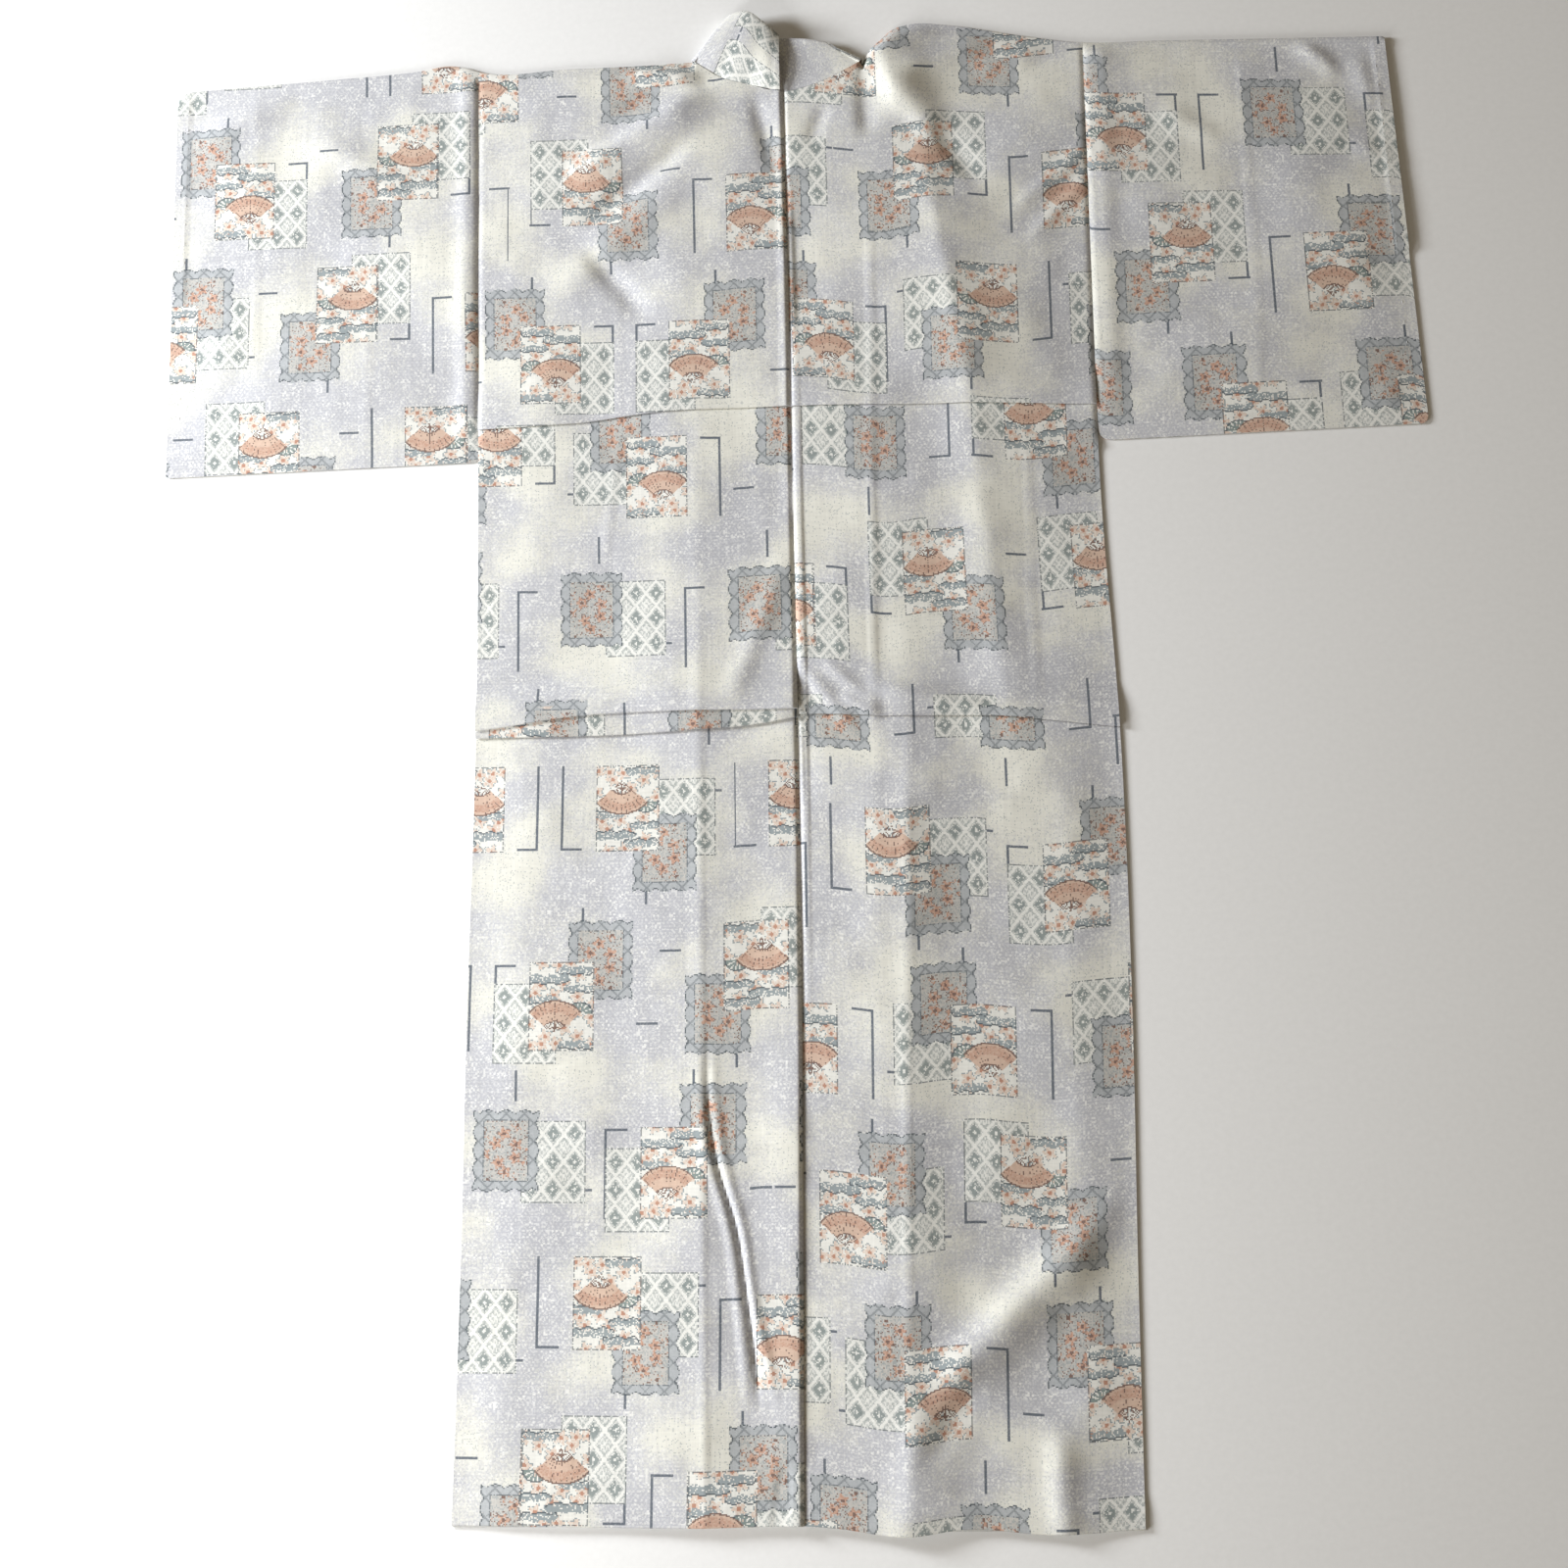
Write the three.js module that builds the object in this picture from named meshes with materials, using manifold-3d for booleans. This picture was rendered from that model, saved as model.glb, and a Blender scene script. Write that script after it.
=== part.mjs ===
// A yukata, a straight-cut cotton robe, lying flat on its front with its back up.
// Millimetres. +X runs from the wearer's left to the wearer's right, +Y towards the collar, +Z up from the floor.
// Each cut length of cloth is one wall: two body lengths that run from the back hem over the shoulder to the
// front hem, two front overlaps, the two halves of the collar and two sleeves.
import * as THREE from 'three';
import { mergeVertices } from 'three/addons/utils/BufferGeometryUtils.js';
import Module from 'manifold-3d';

const wasm = await Module();
wasm.setup();

// Driving dimensions
const WALL = 1.2;
const COLLAR_WALL = 2;
const LAYER_GAP = 0.4;
const SEAM_GAP = 0.5;
const NECK_HALF = 88;
const FRONT_INNER = 65;
const FRONT_EDGE = 87;
const COLLAR_WIDTH = 55;
const KENSAKI_Y = -230;
const COLLAR_END_Y = -675;
const COLLAR_END_SEAM = FRONT_EDGE - COLLAR_WIDTH;
const CUFF_OPENING = 230;
const ARMHOLE_END_Y = -422;
const TUCK_DEPTH = 15;
const CENTRE_OF_PART = { x: 1, y: -696 };

// Heights of the middle of each wall, worked out from what lies under it
const LAYER = WALL + LAYER_GAP;
const FRONT_Z = WALL / 2;
const BACK_Z = FRONT_Z + LAYER;
const COLLAR_Z = COLLAR_WALL / 2;
const OVER_LEFT_FRONT = COLLAR_WALL + LAYER_GAP;
const OVER_BOTH_FRONTS = 2 * OVER_LEFT_FRONT - LAYER;
const TUCK_RISE = 2 * LAYER;

// The edges of the robe as it lies, the shoulder line at y = 0
const SIDES = [
  { y: 40, left: -310, centre: 4, right: 311 },
  { y: -250, left: -306, centre: 8, right: 310 },
  { y: -480, left: -303, centre: 9, right: 310 },
  { y: -700, left: -302, centre: 11, right: 318 },
  { y: -980, left: -307, centre: 11, right: 318 },
  { y: -1200, left: -309, centre: 9, right: 313 },
  { y: -1445, left: -314, centre: 6, right: 309 },
];
const TOP_EDGE = [
  { x: -630, y: -4 },
  { x: -586, y: -2 },
  { x: -462, y: 3 },
  { x: -369, y: 8 },
  { x: -338, y: 12 },
  { x: -326, y: 10 },
  { x: -309, y: 4 },
  { x: -124, y: 2 },
  { x: -88, y: 3 },
  { x: -53, y: -20 },
  { x: -28, y: -28 },
  { x: 4, y: -37 },
  { x: 37, y: -31 },
  { x: 57, y: -23 },
  { x: 88, y: -7 },
  { x: 94, y: 5 },
  { x: 107, y: 18 },
  { x: 118, y: 28 },
  { x: 133, y: 33 },
  { x: 178, y: 30 },
  { x: 238, y: 17 },
  { x: 311, y: 4 },
  { x: 503, y: -2 },
  { x: 630, y: -6 },
];
const HEM = [
  { x: -314, y: -1431 },
  { x: -100, y: -1434 },
  { x: 30, y: -1434 },
  { x: 98, y: -1442 },
  { x: 150, y: -1436 },
  { x: 228, y: -1441 },
  { x: 309, y: -1437 },
];
// The fold edges of the two tucks across the back, from the lower one up
const TUCKS = [
  [
    { x: -314, y: -702 },
    { x: -97, y: -701 },
    { x: 4, y: -694 },
    { x: 14, y: -688 },
    { x: 228, y: -696 },
    { x: 318, y: -708 },
  ],
  [
    { x: -314, y: -387 },
    { x: -203, y: -384 },
    { x: 0, y: -376 },
    { x: 318, y: -384 },
  ],
];
// The sleeve mouths, and the radius of each rounded corner
const SLEEVES = {
  left: { side: -1, mouthTop: -626, mouthBottom: -622, bottomIn: -420, bottomOut: -425, top: 12, inner: 1, outer: 2 },
  right: { side: 1, mouthTop: 612, mouthBottom: 628, bottomIn: -421, bottomOut: -416, top: 2, inner: 12, outer: 7 },
};
// The largest soft folds of the upper layer: a ridge from one end to the other, its half width and its rise
const RIDGES = [
  { x1: -94, y1: -62, x2: -200, y2: -152, half: 26, rise: 6 },
  { x1: -112, y1: -150, x2: -218, y2: -238, half: 24, rise: 4 },
  { x1: 112, y1: -140, x2: 150, y2: -305, half: 24, rise: 6 },
  { x1: 182, y1: -170, x2: 228, y2: -292, half: 24, rise: 4 },
  { x1: 118, y1: -8, x2: 212, y2: 8, half: 14, rise: 4 },
  { x1: -8, y1: -545, x2: -54, y2: -650, half: 18, rise: 5 },
  { x1: 88, y1: -668, x2: 190, y2: -682, half: 15, rise: 4 },
  { x1: -74, y1: -1030, x2: -78, y2: -1110, half: 14, rise: 6 },
  { x1: -78, y1: -1110, x2: -52, y2: -1215, half: 14, rise: 8 },
  { x1: -52, y1: -1215, x2: -26, y2: -1330, half: 14, rise: 7 },
  { x1: 300, y1: -1150, x2: 142, y2: -1308, half: 26, rise: 9 },
  { x1: 128, y1: -1320, x2: 98, y2: -1450, half: 22, rise: 8 },
  { x1: 262, y1: -1385, x2: 264, y2: -1450, half: 16, rise: 5 },
  { x1: -321, y1: 5, x2: -317, y2: -416, half: 10, rise: 5 },
  { x1: 325, y1: -12, x2: 324, y2: -404, half: 9, rise: 3 },
  { x1: -600, y1: -60, x2: -520, y2: -30, half: 22, rise: 4 },
  { x1: -470, y1: -70, x2: -392, y2: -120, half: 22, rise: 3 },
  { x1: 520, y1: -20, x2: 590, y2: -70, half: 20, rise: 5 },
  { x1: 568, y1: -400, x2: 622, y2: -352, half: 18, rise: 4 },
];
const CLOTH = { color: 0xcfcfd6, roughness: 0.9, metalness: 0 };

const mix = THREE.MathUtils.lerp;
const fade = (from, to, value) => THREE.MathUtils.smoothstep(value, from, to);

// The value of one named column of a table at a place along another column
function lookUp(table, along, place, column) {
  const rising = table[0][along] < table.at(-1)[along];
  const rows = rising ? table : [...table].reverse();
  const after = rows.findIndex((row) => row[along] >= place);
  if (after === 0) return rows[0][column];
  if (after < 0) return rows.at(-1)[column];
  const [low, high] = [rows[after - 1], rows[after]];
  return mix(low[column], high[column], (place - low[along]) / (high[along] - low[along]));
}

const steps = (count) => Array.from({ length: count + 1 }, (_, i) => i / count);
const sideAt = (side, y) => lookUp(SIDES, 'y', y, side < 0 ? 'left' : 'right');
const centreAt = (y) => lookUp(SIDES, 'y', y, 'centre');
const topAt = (x) => lookUp(TOP_EDGE, 'x', x, 'y');
const hemAt = (x) => lookUp(HEM, 'x', x, 'y');
const tuckAt = (tuck, x) => lookUp(TUCKS[tuck], 'x', x, 'y');

// The front's collar seam on the wearer's left, and the free edge of what lies on the floor there
const FRONT_SEAM = [
  { y: 0, x: -NECK_HALF },
  { y: KENSAKI_Y, x: -FRONT_INNER },
  { y: COLLAR_END_Y, x: COLLAR_END_SEAM },
];
const LEFT_FREE_EDGE = [
  { y: 0, x: -NECK_HALF + COLLAR_WIDTH },
  { y: KENSAKI_Y, x: -FRONT_INNER + COLLAR_WIDTH },
  { y: COLLAR_END_Y, x: FRONT_EDGE },
];

// How far the wearer's right front is lifted where it crosses the left one
const CROSSING = { clear: 22, landed: 60 };
function liftOverLeft(x, y) {
  const past = x - lookUp(LEFT_FREE_EDGE, 'y', y, 'x');
  return OVER_LEFT_FRONT * (1 - fade(CROSSING.clear, CROSSING.landed, past));
}

function reliefAt(x, y) {
  let height = 0;
  for (const ridge of RIDGES) {
    const [dx, dy] = [ridge.x2 - ridge.x1, ridge.y2 - ridge.y1];
    const along = ((x - ridge.x1) * dx + (y - ridge.y1) * dy) / (dx * dx + dy * dy);
    const nearest = THREE.MathUtils.clamp(along, 0, 1);
    const away = Math.hypot(x - ridge.x1 - nearest * dx, y - ridge.y1 - nearest * dy);
    height = Math.max(height, ridge.rise * Math.exp(-((away / ridge.half) ** 2)));
  }
  return height;
}

// The middle of the back's wall, over the crossed fronts near the centre
const CROSSED_HALF = { flat: 125, landed: 172 };
function backZ(x, y) {
  const crossed = 1 - fade(CROSSED_HALF.flat, CROSSED_HALF.landed, Math.abs(x));
  return BACK_Z + OVER_BOTH_FRONTS * crossed + reliefAt(x, y);
}

// A closed wall round a grid of middle points, each with its own outward normal. Cells that keep() turns down
// are left open, and closed = true joins the last row to the first.
function wall(rows, thickness, { closed = false, keep = () => true } = {}) {
  const across = rows[0].length;
  const count = rows.length * across;
  const positions = [];
  for (const sign of [1, -1]) {
    for (const { point, normal } of rows.flat()) {
      positions.push(...point.clone().addScaledVector(normal, (sign * thickness) / 2).toArray());
    }
  }
  const lastRow = closed ? rows.length : rows.length - 1;
  const kept = (r, c) => r >= 0 && r < lastRow && c >= 0 && c < across - 1 && keep(r, c);
  const at = (r, c) => (r % rows.length) * across + c;
  const index = [];
  const quad = (a, b, c, d) => index.push(a, b, c, a, c, d);
  for (let r = 0; r < lastRow; r++) {
    for (let c = 0; c < across - 1; c++) {
      if (!kept(r, c)) continue;
      const [a, b, d, e] = [at(r, c), at(r, c + 1), at(r + 1, c + 1), at(r + 1, c)];
      quad(a, b, d, e);
      quad(a + count, e + count, d + count, b + count);
      const before = closed ? kept((r + lastRow - 1) % lastRow, c) : kept(r - 1, c);
      const after = closed ? kept((r + 1) % lastRow, c) : kept(r + 1, c);
      if (!before) quad(a, a + count, b + count, b);
      if (!after) quad(d, d + count, e + count, e);
      if (!kept(r, c + 1)) quad(b, b + count, d + count, d);
      if (!kept(r, c - 1)) quad(e, e + count, a + count, a);
    }
  }
  const geometry = new THREE.BufferGeometry();
  geometry.setAttribute('position', new THREE.Float32BufferAttribute(positions, 3));
  geometry.setIndex(index);
  return facingOut(geometry);
}

function facingOut(geometry) {
  const [a, b, c] = [new THREE.Vector3(), new THREE.Vector3(), new THREE.Vector3()];
  const { position } = geometry.attributes;
  const index = geometry.index.array;
  let volume = 0;
  for (let i = 0; i < index.length; i += 3) {
    a.fromBufferAttribute(position, index[i]);
    b.fromBufferAttribute(position, index[i + 1]);
    c.fromBufferAttribute(position, index[i + 2]);
    volume += a.dot(b.cross(c));
  }
  if (volume < 0) {
    for (let i = 0; i < index.length; i += 3) [index[i + 1], index[i + 2]] = [index[i + 2], index[i + 1]];
  }
  return geometry;
}

const SAME_PLACE = 0.0001;
function solidFrom(geometry) {
  const merged = mergeVertices(geometry, SAME_PLACE);
  const mesh = new wasm.Mesh({
    numProp: 3,
    vertProperties: merged.attributes.position.array,
    triVerts: new Uint32Array(merged.index.array),
  });
  return new wasm.Manifold(mesh);
}

function joined(first, second) {
  const mesh = solidFrom(first).add(solidFrom(second)).getMesh();
  const geometry = new THREE.BufferGeometry();
  geometry.setAttribute('position', new THREE.BufferAttribute(mesh.vertProperties, 3));
  geometry.setIndex(new THREE.BufferAttribute(mesh.triVerts, 1));
  return geometry;
}

// A path in the plane across x, with the normal on the left of its direction at each point
function withNormals(path) {
  return path.map((here, i) => {
    const before = path[Math.max(i - 1, 0)];
    const after = path[Math.min(i + 1, path.length - 1)];
    const [dy, dz] = [after.y - before.y, after.z - before.z];
    const length = Math.hypot(dy, dz);
    return {
      point: new THREE.Vector3(here.x, here.y, here.z),
      normal: new THREE.Vector3(0, -dz / length, dy / length),
    };
  });
}

// Half a turn from one height to another, bulging along y, as points of a fold
const FOLD_STEPS = 4;
function turn(x, y, fromZ, toZ, bulge) {
  const radius = Math.abs(toZ - fromZ) / 2;
  return steps(FOLD_STEPS).map((t) => ({
    x,
    y: y + bulge * radius * Math.sin(Math.PI * t),
    z: mix(fromZ, toZ, (1 - Math.cos(Math.PI * t)) / 2),
  }));
}

// Body lengths

const SIDE_COLUMNS = 11;
const NECK_COLUMNS = 6;
const HEM_ROWS = 14;
const WAIST_ROWS = 5;
const CHEST_ROWS = 7;
const YOKE_ROWS = 3;
const CROSSING_ROWS = 4;
const SKIRT_ROWS = 3;
const TUCK_RUN_OUT = [16, 30, 46];

// Where a body length's columns lie across it: out to the neck point first, then on to the centre seam
function bodyColumns(side) {
  const neck = (sideAt(side, 0) - side * NECK_HALF) / (sideAt(side, 0) - centreAt(0));
  return [
    ...steps(SIDE_COLUMNS).map((t) => t * neck),
    ...steps(NECK_COLUMNS).slice(1).map((t) => mix(neck, 1, t)),
  ];
}

const centreGap = (side) => (side * SEAM_GAP) / 2;
const backX = (side, u, y) => mix(sideAt(side, y), centreAt(y) + centreGap(side), u);

// How much the tucks lift the layer that ends in their fold edge
function tuckLift(x, y) {
  return TUCK_RISE * Math.max(...TUCKS.map((_, tuck) => {
    const above = y - tuckAt(tuck, x);
    return above < 0 ? 0 : 1 - fade(TUCK_DEPTH + 2, TUCK_RUN_OUT.at(-1), above);
  }));
}

function frontInnerX(side, y) {
  const slant = -lookUp(FRONT_SEAM, 'y', Math.max(y, KENSAKI_Y), 'x');
  return side * slant;
}

// One column of a body length: up the back through both tucks, over the shoulder and down the front
function bodyPath(side, u, neckColumn) {
  const path = [];
  const put = (y, z) => path.push({ x: backX(side, u, y), y, z });
  const lie = (y) => put(y, backZ(backX(side, u, y), y) + tuckLift(backX(side, u, y), y));
  const rise = (fromY, toY, count) => {
    for (const t of steps(count).slice(0, -1)) lie(mix(fromY, toY, t));
  };
  let from = hemAt(backX(side, u, HEM[0].y));
  for (const [tuck, count] of [[0, HEM_ROWS], [1, WAIST_ROWS]]) {
    const edge = tuckAt(tuck, backX(side, u, TUCKS[tuck][0].y));
    const x = backX(side, u, edge);
    const inner = edge + TUCK_DEPTH;
    const ground = backZ(x, edge);
    rise(from, edge, count);
    path.push({ x, y: edge, z: ground });
    path.push(...turn(x, inner, ground, ground + LAYER, 1));
    path.push(...turn(x, edge, ground + LAYER, ground + TUCK_RISE, -1));
    for (const above of TUCK_RUN_OUT.slice(0, -1)) lie(edge + above);
    from = edge + TUCK_RUN_OUT.at(-1);
  }
  const shoulderX = backX(side, u, 0);
  const foldRadius = (backZ(shoulderX, 0) - FRONT_Z) / 2;
  const folded = u <= neckColumn;
  const top = topAt(shoulderX) - (folded ? foldRadius + WALL / 2 : 0);
  rise(from, top, CHEST_ROWS);
  const topZ = folded ? FRONT_Z + 2 * foldRadius : backZ(shoulderX, top);
  path.push(...turn(shoulderX, top, topZ, FRONT_Z, folded ? 1 : 0));
  const share = Math.min(u / neckColumn, 1);
  const descend = (fromY, toY, count) => {
    for (const t of steps(count).slice(1)) {
      const y = mix(fromY, toY, t);
      const x = mix(sideAt(side, y), frontInnerX(side, y), share);
      path.push({ x, y, z: FRONT_Z + (side > 0 ? liftOverLeft(x, y) : 0) });
    }
  };
  descend(top, KENSAKI_Y, YOKE_ROWS);
  descend(KENSAKI_Y, COLLAR_END_Y, CROSSING_ROWS);
  descend(COLLAR_END_Y, hemAt(mix(sideAt(side, HEM[0].y), side * FRONT_INNER, share)), SKIRT_ROWS);
  return withNormals(path);
}

// The stitched side, where the edges of back and front meet: a thin upright strip between the two layers
const SIDE_SEAM = { inset: 1.1, half: 0.5, rows: 18 };
function sideSeam(side) {
  const rows = steps(SIDE_SEAM.rows).map((t) => {
    const y = mix(hemAt(sideAt(side, HEM[0].y)) + SIDE_SEAM.half, ARMHOLE_END_Y, t);
    const x = sideAt(side, y) - side * SIDE_SEAM.inset;
    const upper = backZ(x, y) + tuckLift(x, y - TUCK_DEPTH / 2);
    return [FRONT_Z, upper].map((z) => ({
      point: new THREE.Vector3(x, y, z),
      normal: new THREE.Vector3(side, 0, 0),
    }));
  });
  return wall(rows, 2 * SIDE_SEAM.half);
}

function bodyLength(side) {
  const columns = bodyColumns(side);
  const neckColumn = columns[SIDE_COLUMNS];
  const paths = columns.map((u) => bodyPath(side, u, neckColumn));
  const rows = paths[0].map((_, r) => paths.map((path) => path[r]));
  const backRows = rows.length - (YOKE_ROWS + CROSSING_ROWS + SKIRT_ROWS) - FOLD_STEPS - 1;
  const keep = (r, c) => c < SIDE_COLUMNS || r < backRows;
  return joined(wall(rows, WALL, { keep }), sideSeam(side));
}

// Front overlaps

const OVERLAP_ROWS = { plain: 5, tapered: 5 };
const OVERLAP_COLUMNS = { inner: 4, edge: 2 };
const OVERLAP_TIP = 1;

function frontOverlap(side) {
  const lay = (x, y) => ({
    point: new THREE.Vector3(-side * x, y, FRONT_Z + (side > 0 ? liftOverLeft(-x, y) : 0)),
    normal: new THREE.Vector3(0, 0, 1),
  });
  const start = -FRONT_INNER + SEAM_GAP;
  const slope = (COLLAR_END_SEAM + FRONT_INNER) / (KENSAKI_Y - COLLAR_END_Y);
  const tipY = KENSAKI_Y - (2 * SEAM_GAP + OVERLAP_TIP) / slope;
  const widest = COLLAR_END_SEAM - SEAM_GAP;
  const shoulder = COLLAR_END_Y - SEAM_GAP;
  const plain = steps(OVERLAP_ROWS.plain).map((t) => ({
    seam: widest,
    yAt: (x) => mix(hemAt(-side * x), shoulder, t),
  }));
  const tapered = steps(OVERLAP_ROWS.tapered).slice(1).map((t) => ({
    seam: mix(widest, start + OVERLAP_TIP, t),
    yAt: () => mix(shoulder, tipY, t),
  }));
  const rows = [...plain, ...tapered].map(({ seam, yAt }) => {
    const across = [
      ...steps(OVERLAP_COLUMNS.inner).map((t) => mix(start, seam, t)),
      ...steps(OVERLAP_COLUMNS.edge).slice(1).map((t) => mix(seam, FRONT_EDGE, t)),
    ];
    return across.map((x) => lay(x, yAt(x)));
  });
  const keep = (r, c) => c < OVERLAP_COLUMNS.inner || r < OVERLAP_ROWS.plain;
  return wall(rows, WALL, { keep });
}

// Collar

// Where each half turns over at the shoulder: the turned line's two ends, and the height of its free end
const COLLAR_TURN = {
  left: { seam: { x: -87, y: 3 }, free: { x: -51, y: 47 }, rise: 12 },
  right: { seam: { x: 87, y: -5 }, free: { x: 54, y: 14 }, rise: 8 },
};
// The free edge along the back of the neck, from the turned line to the centre: share of the way, place, height
const COLLAR_BACK = {
  left: [
    { share: 0, x: -51, y: 47, z: 12 },
    { share: 0.25, x: -33, y: 49, z: 17 },
    { share: 0.65, x: -12, y: 35, z: 17 },
    { share: 1, x: 3, y: 22, z: 13 },
  ],
  right: [
    { share: 0, x: 54, y: 14, z: 8 },
    { share: 0.5, x: 28, y: 19, z: 9 },
    { share: 1, x: -8, y: 22, z: 7 },
  ],
};
const COLLAR_COLUMNS = 5;
const COLLAR_BULGE = { left: 3.5, right: 0 };
const COLLAR_LAP = { left: 3, right: -8 };
// The left half climbs onto the end of the right one as it nears the centre
const COLLAR_STEP = { up: 3.2, from: 0.6, to: 0.85 };
const COLLAR_LEAVES_FLOOR_Y = -50;
const COLLAR_FRONT_ROWS = { overOverlap: 6, overSide: 3 };

// Normals of a grid of points, from the points on either side of each
function gridWithNormals(rows) {
  return rows.map((row, r) => row.map((point, c) => {
    const alongRows = rows[Math.min(r + 1, rows.length - 1)][c].clone().sub(rows[Math.max(r - 1, 0)][c]);
    const alongColumns = row[Math.min(c + 1, row.length - 1)].clone().sub(row[Math.max(c - 1, 0)]);
    return { point, normal: alongColumns.cross(alongRows).normalize() };
  }));
}

// How much the collar's rows slant, square to the seam that they start from
function collarSlant(y) {
  if (y <= COLLAR_END_Y) return 0;
  const [from, to] = y > KENSAKI_Y ? [FRONT_SEAM[1], FRONT_SEAM[0]] : [FRONT_SEAM[2], FRONT_SEAM[1]];
  const [dx, dy] = [from.x - to.x, to.y - from.y];
  return dx / Math.hypot(dx, dy);
}

function collarHalf(side) {
  const name = side < 0 ? 'left' : 'right';
  const { seam, free, rise } = COLLAR_TURN[name];
  const across = steps(COLLAR_COLUMNS);
  const lift = (x, y) => (side > 0 ? liftOverLeft(x, y) : 0);
  const frontY = [
    ...steps(COLLAR_FRONT_ROWS.overOverlap).map((t) => mix(COLLAR_END_Y, KENSAKI_Y, t)),
    ...steps(COLLAR_FRONT_ROWS.overSide).slice(1).map((t) => mix(KENSAKI_Y, COLLAR_LEAVES_FLOOR_Y, t)),
  ];
  const onFloor = frontY.map((y) => {
    const from = -side * (lookUp(FRONT_SEAM, 'y', y, 'x') + SEAM_GAP);
    return across.map((w) => {
      const x = from - side * (COLLAR_WIDTH - SEAM_GAP) * w;
      const slanted = y + collarSlant(y) * COLLAR_WIDTH * w;
      return new THREE.Vector3(x, slanted, COLLAR_Z + lift(x, slanted));
    });
  });
  const line = new THREE.Vector2(free.x - seam.x, free.y - seam.y).normalize();
  const out = new THREE.Vector2(-line.y * -side, line.x * -side);
  const neckZ = backZ(seam.x, seam.y);
  const turned = steps(FOLD_STEPS).map((t) => across.map((w) => {
    const radius = (mix(neckZ, rise, w) - COLLAR_Z) / 2;
    const swing = radius * (Math.sin(Math.PI * t) - 1);
    return new THREE.Vector3(
      mix(seam.x, free.x, w) + out.x * swing,
      mix(seam.y, free.y, w) + out.y * swing,
      COLLAR_Z + radius * (1 - Math.cos(Math.PI * t)),
    );
  }));
  const columns = bodyColumns(side).slice(SIDE_COLUMNS + 1);
  const neckX = columns.map((u) => backX(side, u, 0));
  const places = [...neckX.slice(0, -1), COLLAR_LAP[name]];
  const onBack = places.map((x, i) => {
    const share = (i + 1) / places.length;
    const y = topAt(x) + SEAM_GAP;
    const stepUp = side < 0 ? COLLAR_STEP.up * fade(COLLAR_STEP.from, COLLAR_STEP.to, share) : 0;
    const base = new THREE.Vector3(x, y, backZ(x, y) + stepUp);
    const edge = new THREE.Vector3(...['x', 'y', 'z'].map((k) => lookUp(COLLAR_BACK[name], 'share', share, k)));
    return across.map((w) => {
      const point = base.clone().lerp(edge, w);
      point.z += COLLAR_BULGE[name] * Math.sin(Math.PI * w);
      return point;
    });
  });
  return wall(gridWithNormals([...onFloor, ...turned, ...onBack]), COLLAR_WALL);
}

// Sleeves

const SLEEVE_BACK_ROWS = 8;
const SLEEVE_FRONT_ROWS = 3;
// Where a sleeve's columns lie, from its seam to its mouth, closer together where it curves
const SLEEVE_ACROSS = [0, 3, 8, 15, 25, 38, 70, 110, 150, 190, 230, 270, 298, 305, 310];

const rounded = (inside, radius) =>
  inside < radius ? radius - Math.sqrt(radius ** 2 - (radius - inside) ** 2) : 0;

// One column round a sleeve: up the front layer, over the fold at the top, down the back layer and round the
// seam at the bottom
function sleevePath(shape, inside) {
  const width = SLEEVE_ACROSS.at(-1);
  const xAt = (y) => {
    const mouth = mix(shape.mouthTop, shape.mouthBottom, y / shape.bottomOut);
    return mix(sideAt(shape.side, y) + shape.side * SEAM_GAP, mouth, inside / width);
  };
  const outside = width - inside;
  const topX = xAt(0);
  const lower = mix(shape.bottomIn, shape.bottomOut, inside / width)
    + rounded(inside, shape.inner) + rounded(outside, shape.outer);
  const upper = topAt(topX) - rounded(outside, shape.top);
  const topRadius = (backZ(topX, upper) - FRONT_Z) / 2;
  const lowRadius = (backZ(xAt(lower), lower) - FRONT_Z) / 2;
  const [from, to] = [lower + lowRadius + WALL / 2, upper - topRadius - WALL / 2];
  const path = [];
  for (const t of steps(SLEEVE_FRONT_ROWS).slice(1, -1)) {
    const y = mix(from, to, t);
    path.push({ x: xAt(y), y, z: FRONT_Z });
  }
  path.push(...turn(xAt(to), to, FRONT_Z, FRONT_Z + 2 * topRadius, 1));
  for (const t of steps(SLEEVE_BACK_ROWS).slice(1, -1)) {
    const y = mix(to, from, t);
    path.push({ x: xAt(y), y, z: backZ(xAt(y), y) });
  }
  path.push(...turn(xAt(from), from, FRONT_Z + 2 * lowRadius, FRONT_Z, -1));
  return path;
}

function sleeve(shape) {
  const paths = SLEEVE_ACROSS.map((inside) => {
    const path = sleevePath(shape, inside);
    return path.map((here, i) => {
      const before = path.at(i - 1);
      const after = path[(i + 1) % path.length];
      const [dy, dz] = [after.y - before.y, after.z - before.z];
      const length = Math.hypot(dy, dz);
      return {
        point: new THREE.Vector3(here.x, here.y, here.z),
        normal: new THREE.Vector3(0, dz / length, -dy / length),
      };
    });
  });
  const rows = paths[0].map((_, r) => paths.map((path) => path[r]));
  return joined(wall(rows, WALL, { closed: true }), cuffSeam(shape));
}

// The mouth is sewn shut below the hand opening
const CUFF_SEAM = { inset: 9, half: 0.5, rows: 6 };
function cuffSeam(shape) {
  const rows = steps(CUFF_SEAM.rows).map((t) => {
    const y = mix(shape.bottomOut + CUFF_SEAM.inset, -CUFF_OPENING, t);
    const mouth = mix(shape.mouthTop, shape.mouthBottom, y / shape.bottomOut);
    const x = mouth - shape.side * CUFF_SEAM.inset;
    return [FRONT_Z, backZ(x, y)].map((z) => ({
      point: new THREE.Vector3(x, y, z),
      normal: new THREE.Vector3(shape.side, 0, 0),
    }));
  });
  return wall(rows, 2 * CUFF_SEAM.half);
}

// Assembly

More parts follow.
